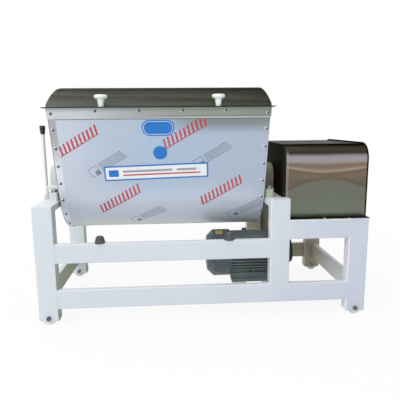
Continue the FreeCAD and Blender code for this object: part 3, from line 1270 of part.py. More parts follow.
NODES = {
    "left_front_leg": [leg(0, 0, LEFT_LEG_TOP)],
    "left_rear_leg": [leg(0, REAR_LEG_FRONT, LEFT_LEG_TOP)],
    "right_front_leg": [leg(RIGHT_LEG_LEFT, 0, STEP_TOP)],
    "right_rear_leg": [leg(RIGHT_LEG_LEFT, REAR_LEG_FRONT, STEP_TOP)],
    "mid_front_post": [mid_post(0)],
    "mid_rear_post": [mid_post(REAR_LEG_FRONT)],
    "front_lower_rail": [long_rail(LEG_WIDTH, RIGHT_LEG_LEFT, 0, LOWER_RAIL_BOTTOM)],
    "rear_lower_rail": [long_rail(LEG_WIDTH, RIGHT_LEG_LEFT, REAR_RAIL_FRONT, LOWER_RAIL_BOTTOM)],
    "front_upper_rail": [long_rail(LEG_WIDTH, MID_POST_LEFT, 0, UPPER_RAIL_BOTTOM)],
    "front_step_rail": [long_rail(MID_POST_RIGHT, RIGHT_LEG_LEFT, 0, STEP_TOP - RAIL_HEIGHT)],
    "rear_step_rail": [long_rail(MID_POST_RIGHT, RIGHT_LEG_LEFT, REAR_RAIL_FRONT, STEP_TOP - RAIL_HEIGHT)],
    "left_lower_cross_rail": [lower_cross_rail(LOWER_LEFT)],
    "right_lower_cross_rail": [lower_cross_rail(LOWER_RIGHT)],
    "left_top_cross_member": [top_member(0, LEFT_FOOT_X)],
    "mid_top_cross_member": [top_member(MID_POST_LEFT, RIGHT_FOOT_X)],
    "right_top_cross_member": [flat_member(RIGHT_LEG_LEFT, LEG_WIDTH, STEP_TOP, LEG_DEPTH, REAR_LEG_FRONT)],
    "gear_support_members": block_members(),
    "motor_base_rails": motor_rails(),
    "rubber_bumpers": bumpers(),
    "left_trunnion_block": [trunnion_block(LEFT_BLOCK_LEFT, LEFT_BLOCK_RIGHT - BEARING_FOOT_WIDTH)],
    "right_trunnion_block": [trunnion_block(RIGHT_BLOCK_LEFT, RIGHT_BLOCK_LEFT)],
    "mounting_bolts": foot_bolts() + motor_bolts(),
    "wheel_axle_bolts": axle_bolts(),
    "left_front_wheel": [wheel(*CORNERS[0])],
    "left_rear_wheel": [wheel(*CORNERS[1])],
    "right_front_wheel": [wheel(*CORNERS[2])],
    "right_rear_wheel": [wheel(*CORNERS[3])],
    "trough_shell": [trough_shell()],
    "left_end_plate": [end_plate(TROUGH_LEFT, 1), lock_plate()],
    "right_end_plate": [end_plate(TROUGH_RIGHT, -1)],
    "rim_band": [rim_band()],
    "trough_screws": trough_screws(),
    "left_trunnion": [trunnion(TROUGH_LEFT, -1)],
    "right_trunnion": [trunnion(TROUGH_RIGHT, 1)],
    "shaft_bushes": shaft_bushes(),
    "trough_hinge_leaves": trough_hinge_leaves(),
    "lid_shell": [lid_shell()],
    "lid_knobs": lid_knobs(),
    "lid_hinge_leaves": lid_hinge_leaves(),
    "mixing_shaft": [mixing_shaft()],
    "mixing_blades": mixing_blades(),
    "large_gear": [large_gear()],
    "outboard_bearing_block": [outboard_block()],
    "countershaft": [countershaft()],
    "drive_pinion": [drive_pinion()],
    "driven_pulley": [driven_pulley()],
    "countershaft_blocks": [small_block(BLOCK_ONE_LEFT), small_block(BLOCK_TWO_LEFT)],
    "v_belts": v_belts(),
    "motor_pulley": [motor_pulley()],
    "motor_shaft": [motor_shaft()],
    "motor_fan": [motor_fan()],
    "motor_housing": [motor_housing()],
    "motor_end_shield": [motor_end_shield()],
    "motor_fan_cover": [motor_fan_cover()],
    "motor_terminal_box": [terminal_box()],
    "drive_cover": [drive_cover(), belt_guard()],
    "drive_cover_screws": cover_screws(),
    "lever_bracket": [lever_bracket()],
    "lock_lever": [lock_lever()],
    "lever_grip": [lever_grip()],
}


def bottom_centre(groups):
    """Bottom centre of the box round every solid."""
    whole = FreeCAD.BoundBox()
    for solids in groups:
        for solid in solids:
            whole.add(solid.BoundBox)
    return Vector(whole.Center.x, whole.Center.y, whole.ZMin)


ORIGIN = bottom_centre(NODES.values())


def save(name, solids):
    """Move one node's solids to the origin and write them."""
    moved = []
    for solid in solids:
        copy = solid.copy()
        copy.translate(ORIGIN * -1)
        moved.append(copy)
    shape = moved[0] if len(moved) == 1 else Part.makeCompound(moved)
    shape.exportStep("parts/" + name + ".step")


for node, node_solids in NODES.items():
    save(node, node_solids)
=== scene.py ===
import json
import math

import bmesh
import bpy
from mathutils import Matrix, Vector, noise


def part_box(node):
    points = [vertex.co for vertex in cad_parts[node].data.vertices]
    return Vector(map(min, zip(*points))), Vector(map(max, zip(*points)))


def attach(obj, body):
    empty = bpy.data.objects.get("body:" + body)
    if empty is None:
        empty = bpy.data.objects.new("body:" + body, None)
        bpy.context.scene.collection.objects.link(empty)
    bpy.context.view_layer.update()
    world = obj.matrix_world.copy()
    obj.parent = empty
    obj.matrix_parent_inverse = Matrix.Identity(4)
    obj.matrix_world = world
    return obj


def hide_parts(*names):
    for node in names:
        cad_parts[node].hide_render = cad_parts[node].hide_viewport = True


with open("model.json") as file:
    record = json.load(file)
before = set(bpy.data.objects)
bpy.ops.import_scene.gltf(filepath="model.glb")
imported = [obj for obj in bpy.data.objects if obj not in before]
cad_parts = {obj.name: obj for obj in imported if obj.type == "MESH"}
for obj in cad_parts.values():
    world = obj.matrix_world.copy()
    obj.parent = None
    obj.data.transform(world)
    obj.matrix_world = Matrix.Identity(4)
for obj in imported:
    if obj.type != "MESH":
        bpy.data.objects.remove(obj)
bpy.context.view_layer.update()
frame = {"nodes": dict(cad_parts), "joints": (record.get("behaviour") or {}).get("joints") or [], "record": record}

# Sizes are in millimetres unless their heading says otherwise, and places are measured from
# the floor below the frame's front left corner: X along the trough, Y towards the back, Z up.
MM = 0.001

# Frame
LEG_WIDTH = 60.0
LEG_DEPTH = 40.0
FRAME_DEPTH = 476.0
MID_POST_LEFT = 713.0
RIGHT_LEG_LEFT = 960.0
RAIL_HEIGHT = 60.0
RAIL_THICKNESS = 20.0
LOWER_RAIL_BOTTOM = 51.0
UPPER_RAIL_BOTTOM = 195.0
STEP_RAIL_BOTTOM = 253.0
CROSS_RAIL_LEFTS = (10.0, 990.0)
WELD_RADIUS = 1.7

# Trough
TROUGH_RADIUS = 164.0
WALL_LEAN = math.radians(16.0)
BAND_HEIGHT = 30.0
BAND_SHEET = 2.0
SCREW_RADIUS = 5.2
SCREW_RISE = 2.9
SCREW_EDGE = 9.5
SCREW_PITCH = 56.0
FIRST_SCREW_DROP = 33.4
SCREWS_PER_SIDE = 8
BAND_SCREWS = 6
BAND_SCREW_DROP = 8.0

# Steps round a screw head, and its cross recess as shares of the head's radius and rise
SCREW_SEGMENTS = 32
RECESS_WIDTH = 0.2
RECESS_REACH = 0.6
RECESS_DEPTH = 0.42

# Film and stickers on the trough
FILM_START = 21.0
FILM_PROUD = 0.35
STICKER_PROUD = 0.9
STICKER_THICK = 0.35
PRINT_SLOPE = math.radians(31.0)

# Print on the film, in metres
PRINT_COLUMN = 0.285
PRINT_ROW = 0.22
HATCH_PITCH = 0.0138
HATCH_STROKE = 0.0062
HATCH_END = 0.158
HATCH_HEIGHT = 0.0275
HATCH_FOOT = 0.0305
RULE_PITCH = 0.0062
RULE_STROKE = 0.0018
RULES_HEIGHT = 0.031

# Knobs, bumpers and motor trim
KNOB_RADIUS = 19.0
KNOB_STEM_RADIUS = 10.5
KNOB_FOOT_RADIUS = 8.0
KNOB_HEIGHT = 34.0
BUMPER_RADIUS = 16.0
BUMPER_TIP_RADIUS = 11.0
BUMPER_HEIGHT = 21.0
COWL_RADIUS = 78.0
PLATE_LEFT = 553.0
PLATE_RIGHT = 582.0
PLATE_FROM_DEGREES = 95.0
PLATE_DEGREES = 22.0
LIFTING_PLUG_X = 654.5
FOOT_WEB_BACK = 12.0

# Apron under the belt guard, dark olive with painted shade
APRON_LEFT = 773.4
APRON_FRONT = 214.0
APRON_REAR = 470.0
APRON_BOTTOM = 170.0
APRON_TOP = 248.0

# Camera: its place, its turns in radians, and its reach in pixels of the square photograph
EYE = (418.7, -1267.9, 604.5)
YAW = -0.0615
PITCH = 0.1736
ROLL = -0.0095
SENSOR_WIDTH = 36.0
REACH_PIXELS = 432.0
PICTURE_PIXELS = 400.0

# Scales of the noise behind lines that run along X, and of noise that is alike all ways
ALONG_X = (4.0, 900.0, 900.0)
ALL_WAYS = (60.0, 60.0, 60.0)

# In metres: the rise over which the cover's bands lie, and half the floor's side
COVER_BAND_RISE = 0.2
FLOOR_REACH = 14.0

frame_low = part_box("left_front_leg")[0]


def place(x, y, z):
    """A point in metres from millimetres measured off the frame's corner."""
    return Vector((frame_low[0] + x * MM, frame_low[1] + y * MM, z * MM))


def joint_place(name):
    """Where a joint's axis passes, in metres."""
    for joint in frame["joints"]:
        if joint["name"] == name:
            return Vector(joint["pos_m"])
    return None


def paint(red, green, blue):
    """A colour as seen, 0 to 255, as the linear colour that a shader takes."""
    levels = []
    for level in (red, green, blue):
        share = level / 255
        levels.append(share / 12.92 if share <= 0.04045 else ((share + 0.055) / 1.055) ** 2.4)
    return (*levels, 1.0)


# Finishes

class Reading:
    """A value that changes over a surface. Arithmetic on it adds Math nodes."""

    def __init__(self, finish, socket):
        self.finish = finish
        self.socket = socket

    def math(self, operation, *values):
        return self.finish.node("ShaderNodeMath", {"operation": operation}, values)

    def __add__(self, other):
        return self.math("ADD", self, other)

    def __sub__(self, other):
        return self.math("SUBTRACT", self, other)

    def __rsub__(self, other):
        return self.math("SUBTRACT", other, self)

    def __mul__(self, other):
        return self.math("MULTIPLY", self, other)

    def __truediv__(self, other):
        return self.math("DIVIDE", self, other)

    def __mod__(self, other):
        return self.math("FLOORED_MODULO", self, other)

    def __pow__(self, other):
        return self.math("POWER", self, other)

    def __gt__(self, other):
        return self.math("GREATER_THAN", self, other)

    def __lt__(self, other):
        return self.math("LESS_THAN", self, other)

    __radd__ = __add__
    __rmul__ = __mul__

    def least(self, other):
        return self.math("MINIMUM", self, other)

    def most(self, other):
        return self.math("MAXIMUM", self, other)

    def between(self, low, high):
        """1 between the two values, else 0."""
        return (self > low) * (self < high)

    def fade(self, start, end):
        """0 below the start, 1 above the end, smooth between."""
        return self.finish.node("ShaderNodeMapRange", {"interpolation_type": "SMOOTHSTEP"},
                                {"Value": self, "From Min": start, "From Max": end})

    def part(self, name):
        """Another output of the same node."""
        return Reading(self.finish, self.socket.node.outputs[name])


class Finish:
    """One material: its shader and the nodes that feed it."""

    def __init__(self, name, **fixed):
        self.material = bpy.data.materials.new(name)
        self.material.use_nodes = True
        self.tree = self.material.node_tree
        self.tree.nodes.clear()
        self.shader = self.tree.nodes.new("ShaderNodeBsdfPrincipled")
        self.output = self.tree.nodes.new("ShaderNodeOutputMaterial")
        self.tree.links.new(self.shader.outputs[0], self.output.inputs["Surface"])
        for socket, value in fixed.items():
            self.shader.inputs[socket.replace("_", " ")].default_value = value

    def node(self, kind, settings=None, values=(), output=0):
        """Adds a node: settings first, then the values or links of its sockets."""
        made = self.tree.nodes.new(kind)
        for name, setting in (settings or {}).items():
            if name == "stops":
                self.fill_ramp(made.color_ramp, setting)
            else:
                setattr(made, name, setting)
        pairs = values.items() if isinstance(values, dict) else enumerate(values)
        for key, value in pairs:
            if isinstance(value, Reading):
                self.tree.links.new(value.socket, made.inputs[key])
            else:
                made.inputs[key].default_value = value
        return Reading(self, made.outputs[output])

    @staticmethod
    def fill_ramp(ramp, stops):
        """Places the stops of a colour ramp."""
        while len(ramp.elements) < len(stops):
            ramp.elements.new(1.0)
        for element, (position, colour) in zip(ramp.elements, stops):
            element.position = position
            element.color = colour

    def feed(self, socket, value):
        self.tree.links.new(value.socket, self.shader.inputs[socket])

    def shaded(self):
        """The shader itself, to be mixed with another."""
        return Reading(self, self.shader.outputs[0])

    def show(self, surface):
        """Puts another shader on the surface."""
        self.tree.links.new(surface.socket, self.output.inputs["Surface"])

    def spot(self):
        """The place on the piece, in metres."""
        return self.node("ShaderNodeTexCoord", output="Object")

    def stretched(self, x, y, z):
        """The place with each direction scaled by itself."""
        return self.node("ShaderNodeMapping", None, {"Vector": self.spot(), "Scale": (x, y, z)})

    def axes(self):
        """X, Y and Z of the place, each as a value."""
        parts = self.node("ShaderNodeSeparateXYZ", None, [self.spot()])
        return parts, parts.part("Y"), parts.part("Z")

    def facing(self):
        """X, Y and Z of the way that the surface faces, each as a value."""
        normal = self.node("ShaderNodeTexCoord", output="Normal")
        parts = self.node("ShaderNodeSeparateXYZ", None, [normal])
        return parts, parts.part("Y"), parts.part("Z")

    def grain(self, scale, detail=3.0, where=None, roughness=0.5):
        """Cloudy noise between 0 and 1."""
        return self.node("ShaderNodeTexNoise", None, {"Vector": where or self.spot(), "Scale": scale,
                                                      "Detail": detail, "Roughness": roughness})

    def mix(self, share, first, second):
        """Colour between the first and the second."""
        return self.node("ShaderNodeMix", {"data_type": "RGBA"}, {0: share, 6: first, 7: second},
                         output=2)

    def ramp(self, value, stops):
        """Colour at the value along the stops, which are (place, colour) pairs."""
        return self.node("ShaderNodeValToRGB", {"stops": stops}, [value])

    def relief(self, height, depth, strength):
        """Bumps the surface by the height times the depth in metres."""
        bump = self.node("ShaderNodeBump", None,
                         {"Strength": strength, "Distance": depth, "Height": height})
        self.feed("Normal", bump)


def frame_enamel(name, light, shade):
    """White enamel, bluer towards the drive end, with painted light and shade: tops and faces turned to the left
    are paler, the rear members' front faces are paler on the lever side and painted olive behind the drive, the
    rear middle post is painted lighter, faces turned to the right on the lever side get an olive painted shade
    that deepens downwards, and left-facing faces at the drive end are painted white, browner towards the rear.
    """
    finish = Finish(name, Coat_Roughness=0.2, IOR=1.5)
    across, depth, height = finish.axes()
    right, back, up = finish.facing()
    cloud = finish.grain(5.0, 4.0)
    peel = finish.grain(420.0, 2.0)
    specks = finish.grain(900.0, 1.0).fade(0.76, 0.8)
    colour = finish.mix(cloud.fade(0.3, 0.75), light, shade)
    colour = finish.mix(across.fade(0.12, 0.45) * 0.75, colour, paint(197, 204, 221))
    left_side = (0 - right).fade(0.4, 0.8)
    # Painted light: tops, and faces turned to the left past the middle, are paler.
    painted_light_tops_and_left = up.fade(0.4, 0.8).most(left_side * across.fade(0.05, 0.2))
    colour = finish.mix(painted_light_tops_and_left, colour, paint(240, 243, 246))
    # Painted light: front faces of the rear members on the lever side are paler.
    front_side = (0 - back).fade(0.4, 0.8) * depth.fade(0.0, 0.12)
    colour = finish.mix(front_side * (1 - across.fade(-0.3, -0.1)), colour, paint(230, 236, 242))
    # Painted shade: front faces of the rear members behind the drive are olive.
    behind = front_side * across.fade(0.0, 0.16)
    # Painted shade: faces turned to the right on the lever side are olive grey, deeper lower down.
    inside = right.fade(0.4, 0.8) * (1 - across.fade(-0.1, 0.1)) * (1.2 - height * 2.2)
    # Painted shade: faces turned to the left at the drive end are browner towards the rear.
    painted_warm_shade = left_side * across.fade(0.3, 0.4) * depth.fade(-0.12, 0.22)
    colour = finish.mix(behind, colour, paint(176, 171, 144))
    colour = finish.mix((inside * 0.95).most(0.0).least(1.0), colour, paint(132, 140, 108))
    # Painted light: faces turned to the left at the drive end are white.
    colour = finish.mix(left_side * across.fade(0.3, 0.42), colour, paint(254, 254, 255))
    colour = finish.mix(painted_warm_shade, colour, paint(204, 200, 182))
    # Painted light: the rear middle post's front face is lighter.
    painted_tan_light = behind * across.between(0.19, 0.27) * (height > 0.12)
    colour = finish.mix(painted_tan_light, colour, paint(244, 230, 212))
    finish.feed("Base Color", finish.mix(specks * 0.35, colour, paint(150, 152, 150)))
    finish.feed("Roughness", 0.34 + 0.14 * cloud + 0.2 * specks)
    finish.relief(peel + cloud, 0.0004, 0.25)
    return finish.material


def block_enamel():
    """Cast blocks: white enamel at the lever end; at the drive end a painted shade makes them dull brown above a
    greener foot.
    """
    finish = Finish("block_enamel")
    across, _, height = finish.axes()
    skin = finish.grain(260.0, 4.0)
    cloud = finish.grain(14.0, 3.0)
    # Painted shade at the drive end: dull brown above a greener foot; the lever-end blocks stay white.
    colour = finish.mix(height.fade(0.392, 0.4), paint(202, 210, 188), paint(160, 152, 134))
    colour = finish.mix(across.fade(0.0, 0.1), paint(232, 238, 240), colour)
    finish.feed("Base Color", finish.mix(cloud.fade(0.3, 0.8) * 0.35, colour, paint(150, 152, 140)))
    finish.feed("Roughness", 0.42 + 0.15 * skin)
    finish.relief(skin, 0.0006, 0.5)
    return finish.material


def brushed(name, light, dark, roughness, lines_run, streak=0.5):
    """Worked steel with fine lines, long in the direction where the scale is low."""
    finish = Finish(name, Metallic=1.0)
    lines = finish.grain(1.0, 4.0, finish.stretched(*lines_run), 0.7)
    cloud = finish.grain(6.0, 3.0)
    share = (lines - 0.5) * streak + cloud
    finish.feed("Base Color", finish.mix(share.fade(0.2, 0.8), dark, light))
    finish.feed("Roughness", roughness + 0.16 * lines)
    finish.relief(lines, 0.00012, 0.4)
    return finish.material


def screw_zinc():
    """Zinc of the trough's screw heads, with painted light and shade: each dome is bright to the left and painted
    dark to the right.
    """
    finish = Finish("screw_zinc", Metallic=0.7)
    cloud = finish.grain(60.0, 3.0)
    right, _, _ = finish.facing()
    colour = finish.mix(cloud.fade(0.3, 0.7), paint(236, 238, 240), paint(214, 218, 222))
    # Painted shade on the right-hand side of each dome.
    finish.feed("Base Color", finish.mix(right.fade(0.0, 0.4), colour, paint(64, 68, 76)))
    finish.feed("Roughness", 0.26 + 0.16 * cloud)
    finish.relief(cloud, 0.00012, 0.4)
    return finish.material


def cast(name, light, dark, roughness, metallic=0.0):
    """Painted or bare casting with a sand-cast skin."""
    finish = Finish(name, Metallic=metallic)
    skin = finish.grain(260.0, 4.0)
    cloud = finish.grain(14.0, 3.0)
    finish.feed("Base Color", finish.mix(cloud.fade(0.3, 0.7), dark, light))
    finish.feed("Roughness", roughness + 0.15 * skin)
    finish.relief(skin, 0.0006, 0.5)
    return finish.material


def moulded(name, colour, worn, roughness, coat=0.0):
    """Moulded plastic or rubber with a fine skin and scuffs."""
    finish = Finish(name, Coat_Weight=coat, Coat_Roughness=0.08)
    scuffs = finish.grain(70.0, 5.0).fade(0.52, 0.8)
    skin = finish.grain(700.0, 2.0)
    finish.feed("Base Color", finish.mix(scuffs * 0.6, colour, worn))
    finish.feed("Roughness", roughness + 0.25 * scuffs + 0.05 * skin)
    finish.relief(skin, 0.0002, 0.3)
    return finish.material


def trough_steel():
    """Brushed sheet of the trough. On the rim band, light and shade are painted: paler to the left and darker to
    the right, a painted shadow of the lid along its top, and a painted shade line over a painted highlight at its
    lower edge.
    """
    finish = Finish("trough_steel", Metallic=0.9, Specular_Tint=paint(190, 190, 186))
    across, _, height = finish.axes()
    lines = finish.grain(1.0, 4.0, finish.stretched(*ALONG_X), 0.7)
    cloud = finish.grain(6.0, 3.0)
    share = (across - TROUGH_LEFT) / (TROUGH_RIGHT - TROUGH_LEFT)
    # Painted light: the rim band is paler to the left and darker to the right.
    band = finish.ramp(share, [(0.0, paint(212, 217, 221)), (0.13, paint(205, 212, 217)),
                               (0.42, paint(172, 175, 174)), (0.57, paint(160, 165, 160)),
                               (0.88, paint(150, 155, 148)), (1.0, paint(145, 150, 144))])
    drop = (RIM_TOP - height) / (BAND_HEIGHT * MM)
    # Painted shadow of the lid along the top of the band.
    band = finish.mix((1 - drop.fade(0.0, 0.45)) * 0.5, band, paint(112, 116, 110))
    # Painted shade line and painted highlight along the band's folded lower edge, towards the right.
    band = finish.mix(drop.between(0.74, 0.88) * 0.35 * share.fade(0.2, 0.7), band, paint(100, 106, 102))
    band = finish.mix(drop.between(0.88, 1.02) * 0.6 * share.fade(0.2, 0.7), band, paint(214, 218, 216))
    strip = finish.mix(drop.fade(2.5, 6.5), paint(178, 179, 182), paint(226, 233, 242))
    strip = finish.mix((across < (TROUGH_LEFT + 0.0018)) * 0.8, strip, paint(92, 96, 100))
    colour = finish.mix(drop > 1.03, band, strip)
    colour = finish.mix((lines - 0.5) * 0.5 + (cloud - 0.5) * 0.3, colour, paint(120, 121, 118))
    finish.feed("Base Color", colour)
    finish.feed("Roughness", 0.34 + 0.16 * lines)
    finish.relief(lines, 0.00012, 0.4)
    return finish.material


def lid_steel():
    """Dark brushed steel of the lid. Its dark colour, paler to the left, is painted reflection; lighter level
    streaks are painted highlight mixed with the brushing, and a painted shadow darkens its lower edge.
    """
    finish = Finish("lid_steel", Metallic=1.0, Specular_Tint=paint(110, 110, 104))
    across, _, height = finish.axes()
    lines = finish.grain(1.0, 4.0, finish.stretched(3.0, 500.0, 900.0), 0.7)
    cloud = finish.grain(1.0, 3.0, finish.stretched(2.2, 9.0, 60.0))
    share = (across - TROUGH_LEFT) / (TROUGH_RIGHT - TROUGH_LEFT)
    # Painted reflection: dark steel, paler to the left.
    colour = finish.ramp(share, [(0.0, paint(104, 107, 102)), (0.2, paint(86, 89, 83)),
                                 (0.6, paint(74, 77, 70)), (1.0, paint(65, 68, 61))])
    # Lighter level streaks: painted highlight mixed with the brushing lines.
    streak = ((cloud - 0.5) * 1.6 + (lines - 0.5) * 0.5).fade(-0.35, 0.75)
    colour = finish.mix(streak * 0.45, colour, paint(116, 118, 112))
    # Painted shadow along the lower edge of the lid.
    painted_lip_shadow = height < (RIM_TOP + 0.0035)
    finish.feed("Base Color", finish.mix(painted_lip_shadow * 0.8, colour, paint(44, 48, 42)))
    finish.feed("Roughness", 0.34 + 0.18 * lines)
    finish.relief(lines, 0.0001, 0.35)
    return finish.material


def cover_steel():
    """Polished cover sheet. Its colour is painted reflection: brownish stripes that sag in the middle, a lavender
    painted highlight below the rounded top, a dark painted reflection on the top and the left end, a grey-green
    ground lower down with a dark brown line, painted highlight lines at the left corner and along the foot, and
    painted sheen on the far end; the right edge has a dark strip.
    """
    finish = Finish("cover_steel", Specular_Tint=paint(60, 59, 55))
    across, depth, height = finish.axes()
    right, _, up = finish.facing()
    low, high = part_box("drive_cover")
    centre = (low[0] + high[0]) / 2 + 0.005
    bow = (across - centre) ** 2
    wave = finish.grain(1.0, 2.0, finish.stretched(3.0, 3.0, 9.0)) - 0.5
    lines = finish.grain(1.0, 3.0, finish.stretched(5.0, 5.0, 700.0))
    base = STEP_RAIL_BOTTOM * MM + RAIL_HEIGHT * MM
    level = (height - base) / COVER_BAND_RISE
    sagging = level - (4.0 * bow - 0.08 * wave) * (1 - level.fade(0.76, 0.9)) + 0.05 * wave
    # Painted reflection: brownish stripes sagging in the middle, a lavender painted highlight below the top
    # corner, dark above.
    painted_reflection_bands = [(0.0, paint(112, 114, 102)), (0.52, paint(108, 99, 86)), (0.62, paint(122, 109, 95)),
             (0.68, paint(112, 100, 86)), (0.71, paint(164, 148, 130)), (0.745, paint(134, 118, 104)),
             (0.8, paint(124, 110, 98)), (0.84, paint(152, 140, 128)), (0.885, paint(158, 154, 162)),
             (0.94, paint(152, 148, 154)), (0.968, paint(120, 116, 118)), (0.99, paint(72, 69, 62)),
             (1.0, paint(56, 54, 47))]
    colour = finish.ramp(sagging, painted_reflection_bands)
    arched = (height - base + 2.2 * bow + 0.05 * wave) / COVER_BAND_RISE
    # Painted reflection: grey-green ground under the stripes, parted by a dark brown line.
    painted_reflection_field = finish.ramp(arched, [(0.0, paint(122, 127, 114)), (0.14, paint(114, 119, 107)),
                                 (0.45, paint(111, 115, 103)), (0.6, paint(113, 114, 104))])
    line = arched.fade(0.56, 0.6) * (1 - arched.fade(0.605, 0.66))
    colour = finish.mix(line * 0.6 * (0.55 + 1.4 * wave), colour, paint(88, 66, 56))
    colour = finish.mix(1 - arched.fade(0.55, 0.61), colour, painted_reflection_field)
    # Painted highlight along the left corner of the front.
    colour = finish.mix(across.between(low[0], low[0] + 0.0075) * 0.4, colour, paint(166, 160, 146))
    near_end = (0 - right).fade(0.5, 0.8)
    # Painted reflection: the left end is dark at the rear, paler olive towards the front.
    painted_near_end_reflection = finish.mix(depth.fade(-0.12, -0.225) * 0.8, paint(52, 50, 39), paint(118, 115, 88))
    colour = finish.mix(near_end, colour, painted_near_end_reflection)
    # Painted reflection: faces turned upwards are dark.
    colour = finish.mix(up.fade(0.35, 0.7), colour, paint(62, 60, 52))
    rim = (across > (high[0] - 0.0017)) * (1 - right.fade(0.5, 0.8))
    colour = finish.mix(rim, colour, paint(56, 56, 50))
    # Painted sheen on the faces turned to the right.
    sheen = right.fade(0.5, 0.8) * (wave * 2 + 0.4).least(1.0).most(0.0)
    colour = finish.mix(sheen, colour, paint(150, 146, 136))
    # Painted highlight along the foot of the cover.
    colour = finish.mix(height < (base + 0.002), colour, paint(150, 152, 142))
    colour = finish.mix((lines - 0.5) * 0.2, colour, paint(80, 78, 68))
    finish.feed("Metallic", 1 - near_end * 0.2)
    finish.feed("Base Color", colour)
    finish.feed("Roughness", 0.22 + 0.12 * finish.grain(30.0, 4.0) + 0.2 * near_end)
    finish.relief(wave + 0.1 * lines, 0.003, 0.3)
    return finish.material


def film_print():
    """Protective film on the trough, with plain hatched blocks and thin rules printed on it; painted light makes
    it paler lower down, and a painted shadow lies under the rim band at the right.
    """
    finish = Finish("printed_film", Coat_Weight=0.3, Coat_Roughness=0.16, Metallic=0.2)
    unrolled = finish.node("ShaderNodeAttribute", {"attribute_name": "unrolled"}, output="Vector")
    along = finish.node("ShaderNodeSeparateXYZ", None, [unrolled])
    down = along.part("Y")
    across = along * math.cos(PRINT_SLOPE) - down * math.sin(PRINT_SLOPE) + 0.07
    column = across % PRINT_COLUMN
    row = along * math.sin(PRINT_SLOPE) + down * math.cos(PRINT_SLOPE) - (across - column) * 0.5
    wear = finish.grain(180.0, 4.0).fade(0.3, 0.5)

    tall = (row - 0.108) % PRINT_ROW
    slanted = column + 0.3 * tall
    block = slanted.between(HATCH_PITCH, HATCH_END)
    red = tall.between(0.0, HATCH_HEIGHT) * block * ((slanted % HATCH_PITCH) < HATCH_STROKE)
    bar = tall.between(HATCH_HEIGHT, HATCH_FOOT) * block
    red = red.most(bar) * (0.6 + 0.4 * wear) * (1 - 0.55 * down.fade(0.34, 0.44))

    low = (row - 0.212) % PRINT_ROW
    rules = (low % RULE_PITCH) < RULE_STROKE
    long = column.between(0.092, 0.172 + 0.4 * low)
    grey = rules * low.between(0.0, RULES_HEIGHT) * long
    outline = low.between(0.0, 0.03) * column.between(0.055, 0.085)
    inner = low.between(0.0014, 0.0286) * column.between(0.0564, 0.0836)
    grey = grey.most(outline - inner)
    grey = grey.most(low.between(0.016, 0.0286) * column.between(0.07, 0.0836) * 0.8)

    cloud = finish.grain(3.2, 4.0)
    share = along / (TROUGH_RIGHT - TROUGH_LEFT)
    film = finish.ramp(share, [(0.0, paint(192, 190, 196)), (0.03, paint(199, 207, 221)),
                               (0.3, paint(176, 191, 210)), (0.5, paint(168, 191, 216)),
                               (0.75, paint(174, 188, 208)), (1.0, paint(172, 186, 203))])
    # Painted light: the film gets paler lower down, greener at the bottom.
    film = finish.mix(down.fade(0.21, 0.32), film, paint(199, 208, 222))
    film = finish.mix(down.fade(0.34, 0.43), film, paint(216, 223, 219))
    # Painted shadow below the rim band towards the right.
    shaded = share.fade(0.42, 0.72) * (1 - down.fade(0.04, 0.088))
    film = finish.mix(shaded * 0.88, film, paint(120, 127, 125))
    film = finish.mix((down < 0.0345) * 0.7, film, paint(84, 90, 98))
    film = finish.mix((cloud - 0.5) * 0.5, film, paint(214, 218, 226))
    film = finish.mix(grey * 0.9, film, paint(58, 66, 88))
    film = finish.mix(red, film, paint(186, 50, 64))
    finish.feed("Base Color", film)
    finish.feed("Roughness", 0.32 + 0.2 * cloud + 0.1 * red)
    creases = finish.grain(1.0, 3.0, finish.stretched(5.0, 9.0, 16.0), 0.6)
    finish.relief(creases + 0.05 * finish.grain(240.0, 2.0), 0.006, 0.18)
    return finish.material


def flat_print(name, colour, edge):
    """Printed sticker stock with slight fading."""
    finish = Finish(name)
    fade = finish.grain(40.0, 4.0).fade(0.35, 0.75)
    finish.feed("Base Color", finish.mix(fade * 0.5, colour, edge))
    finish.feed("Roughness", 0.35 + 0.12 * fade)
    finish.relief(finish.grain(300.0, 2.0), 0.0002, 0.2)
    return finish.material


TILT = joint_place("trough_tilt")
RIM_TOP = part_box("trough_shell")[1][2]
TROUGH_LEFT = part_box("trough_shell")[0][0]
TROUGH_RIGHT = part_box("trough_shell")[1][0]

FRAME_WHITE = frame_enamel("frame_enamel", paint(213, 221, 227), paint(207, 214, 224))
LEVER_WHITE = frame_enamel("lever_enamel", paint(236, 240, 241), paint(228, 232, 235))
BLOCK_GREY = block_enamel()
TROUGH_STEEL = trough_steel()
LID_STEEL = lid_steel()
COVER_STEEL = cover_steel()
FILM = film_print()
TURNED_STEEL = brushed("turned_steel", paint(190, 190, 188), paint(140, 140, 136), 0.24, ALL_WAYS, 0.9)
SHAFT_STEEL = brushed("shaft_steel", paint(178, 179, 180), paint(128, 129, 128), 0.26, ALONG_X)
BLADE_STEEL = brushed("blade_steel", paint(196, 197, 196), paint(150, 151, 148), 0.34, ALL_WAYS)
BRONZE = brushed("bush_bronze", paint(196, 156, 98), paint(150, 112, 62), 0.3, ALL_WAYS)
ZINC = brushed("zinc_steel", paint(206, 208, 210), paint(140, 142, 144), 0.22, ALL_WAYS, 1.2)
SCREW_ZINC = screw_zinc()
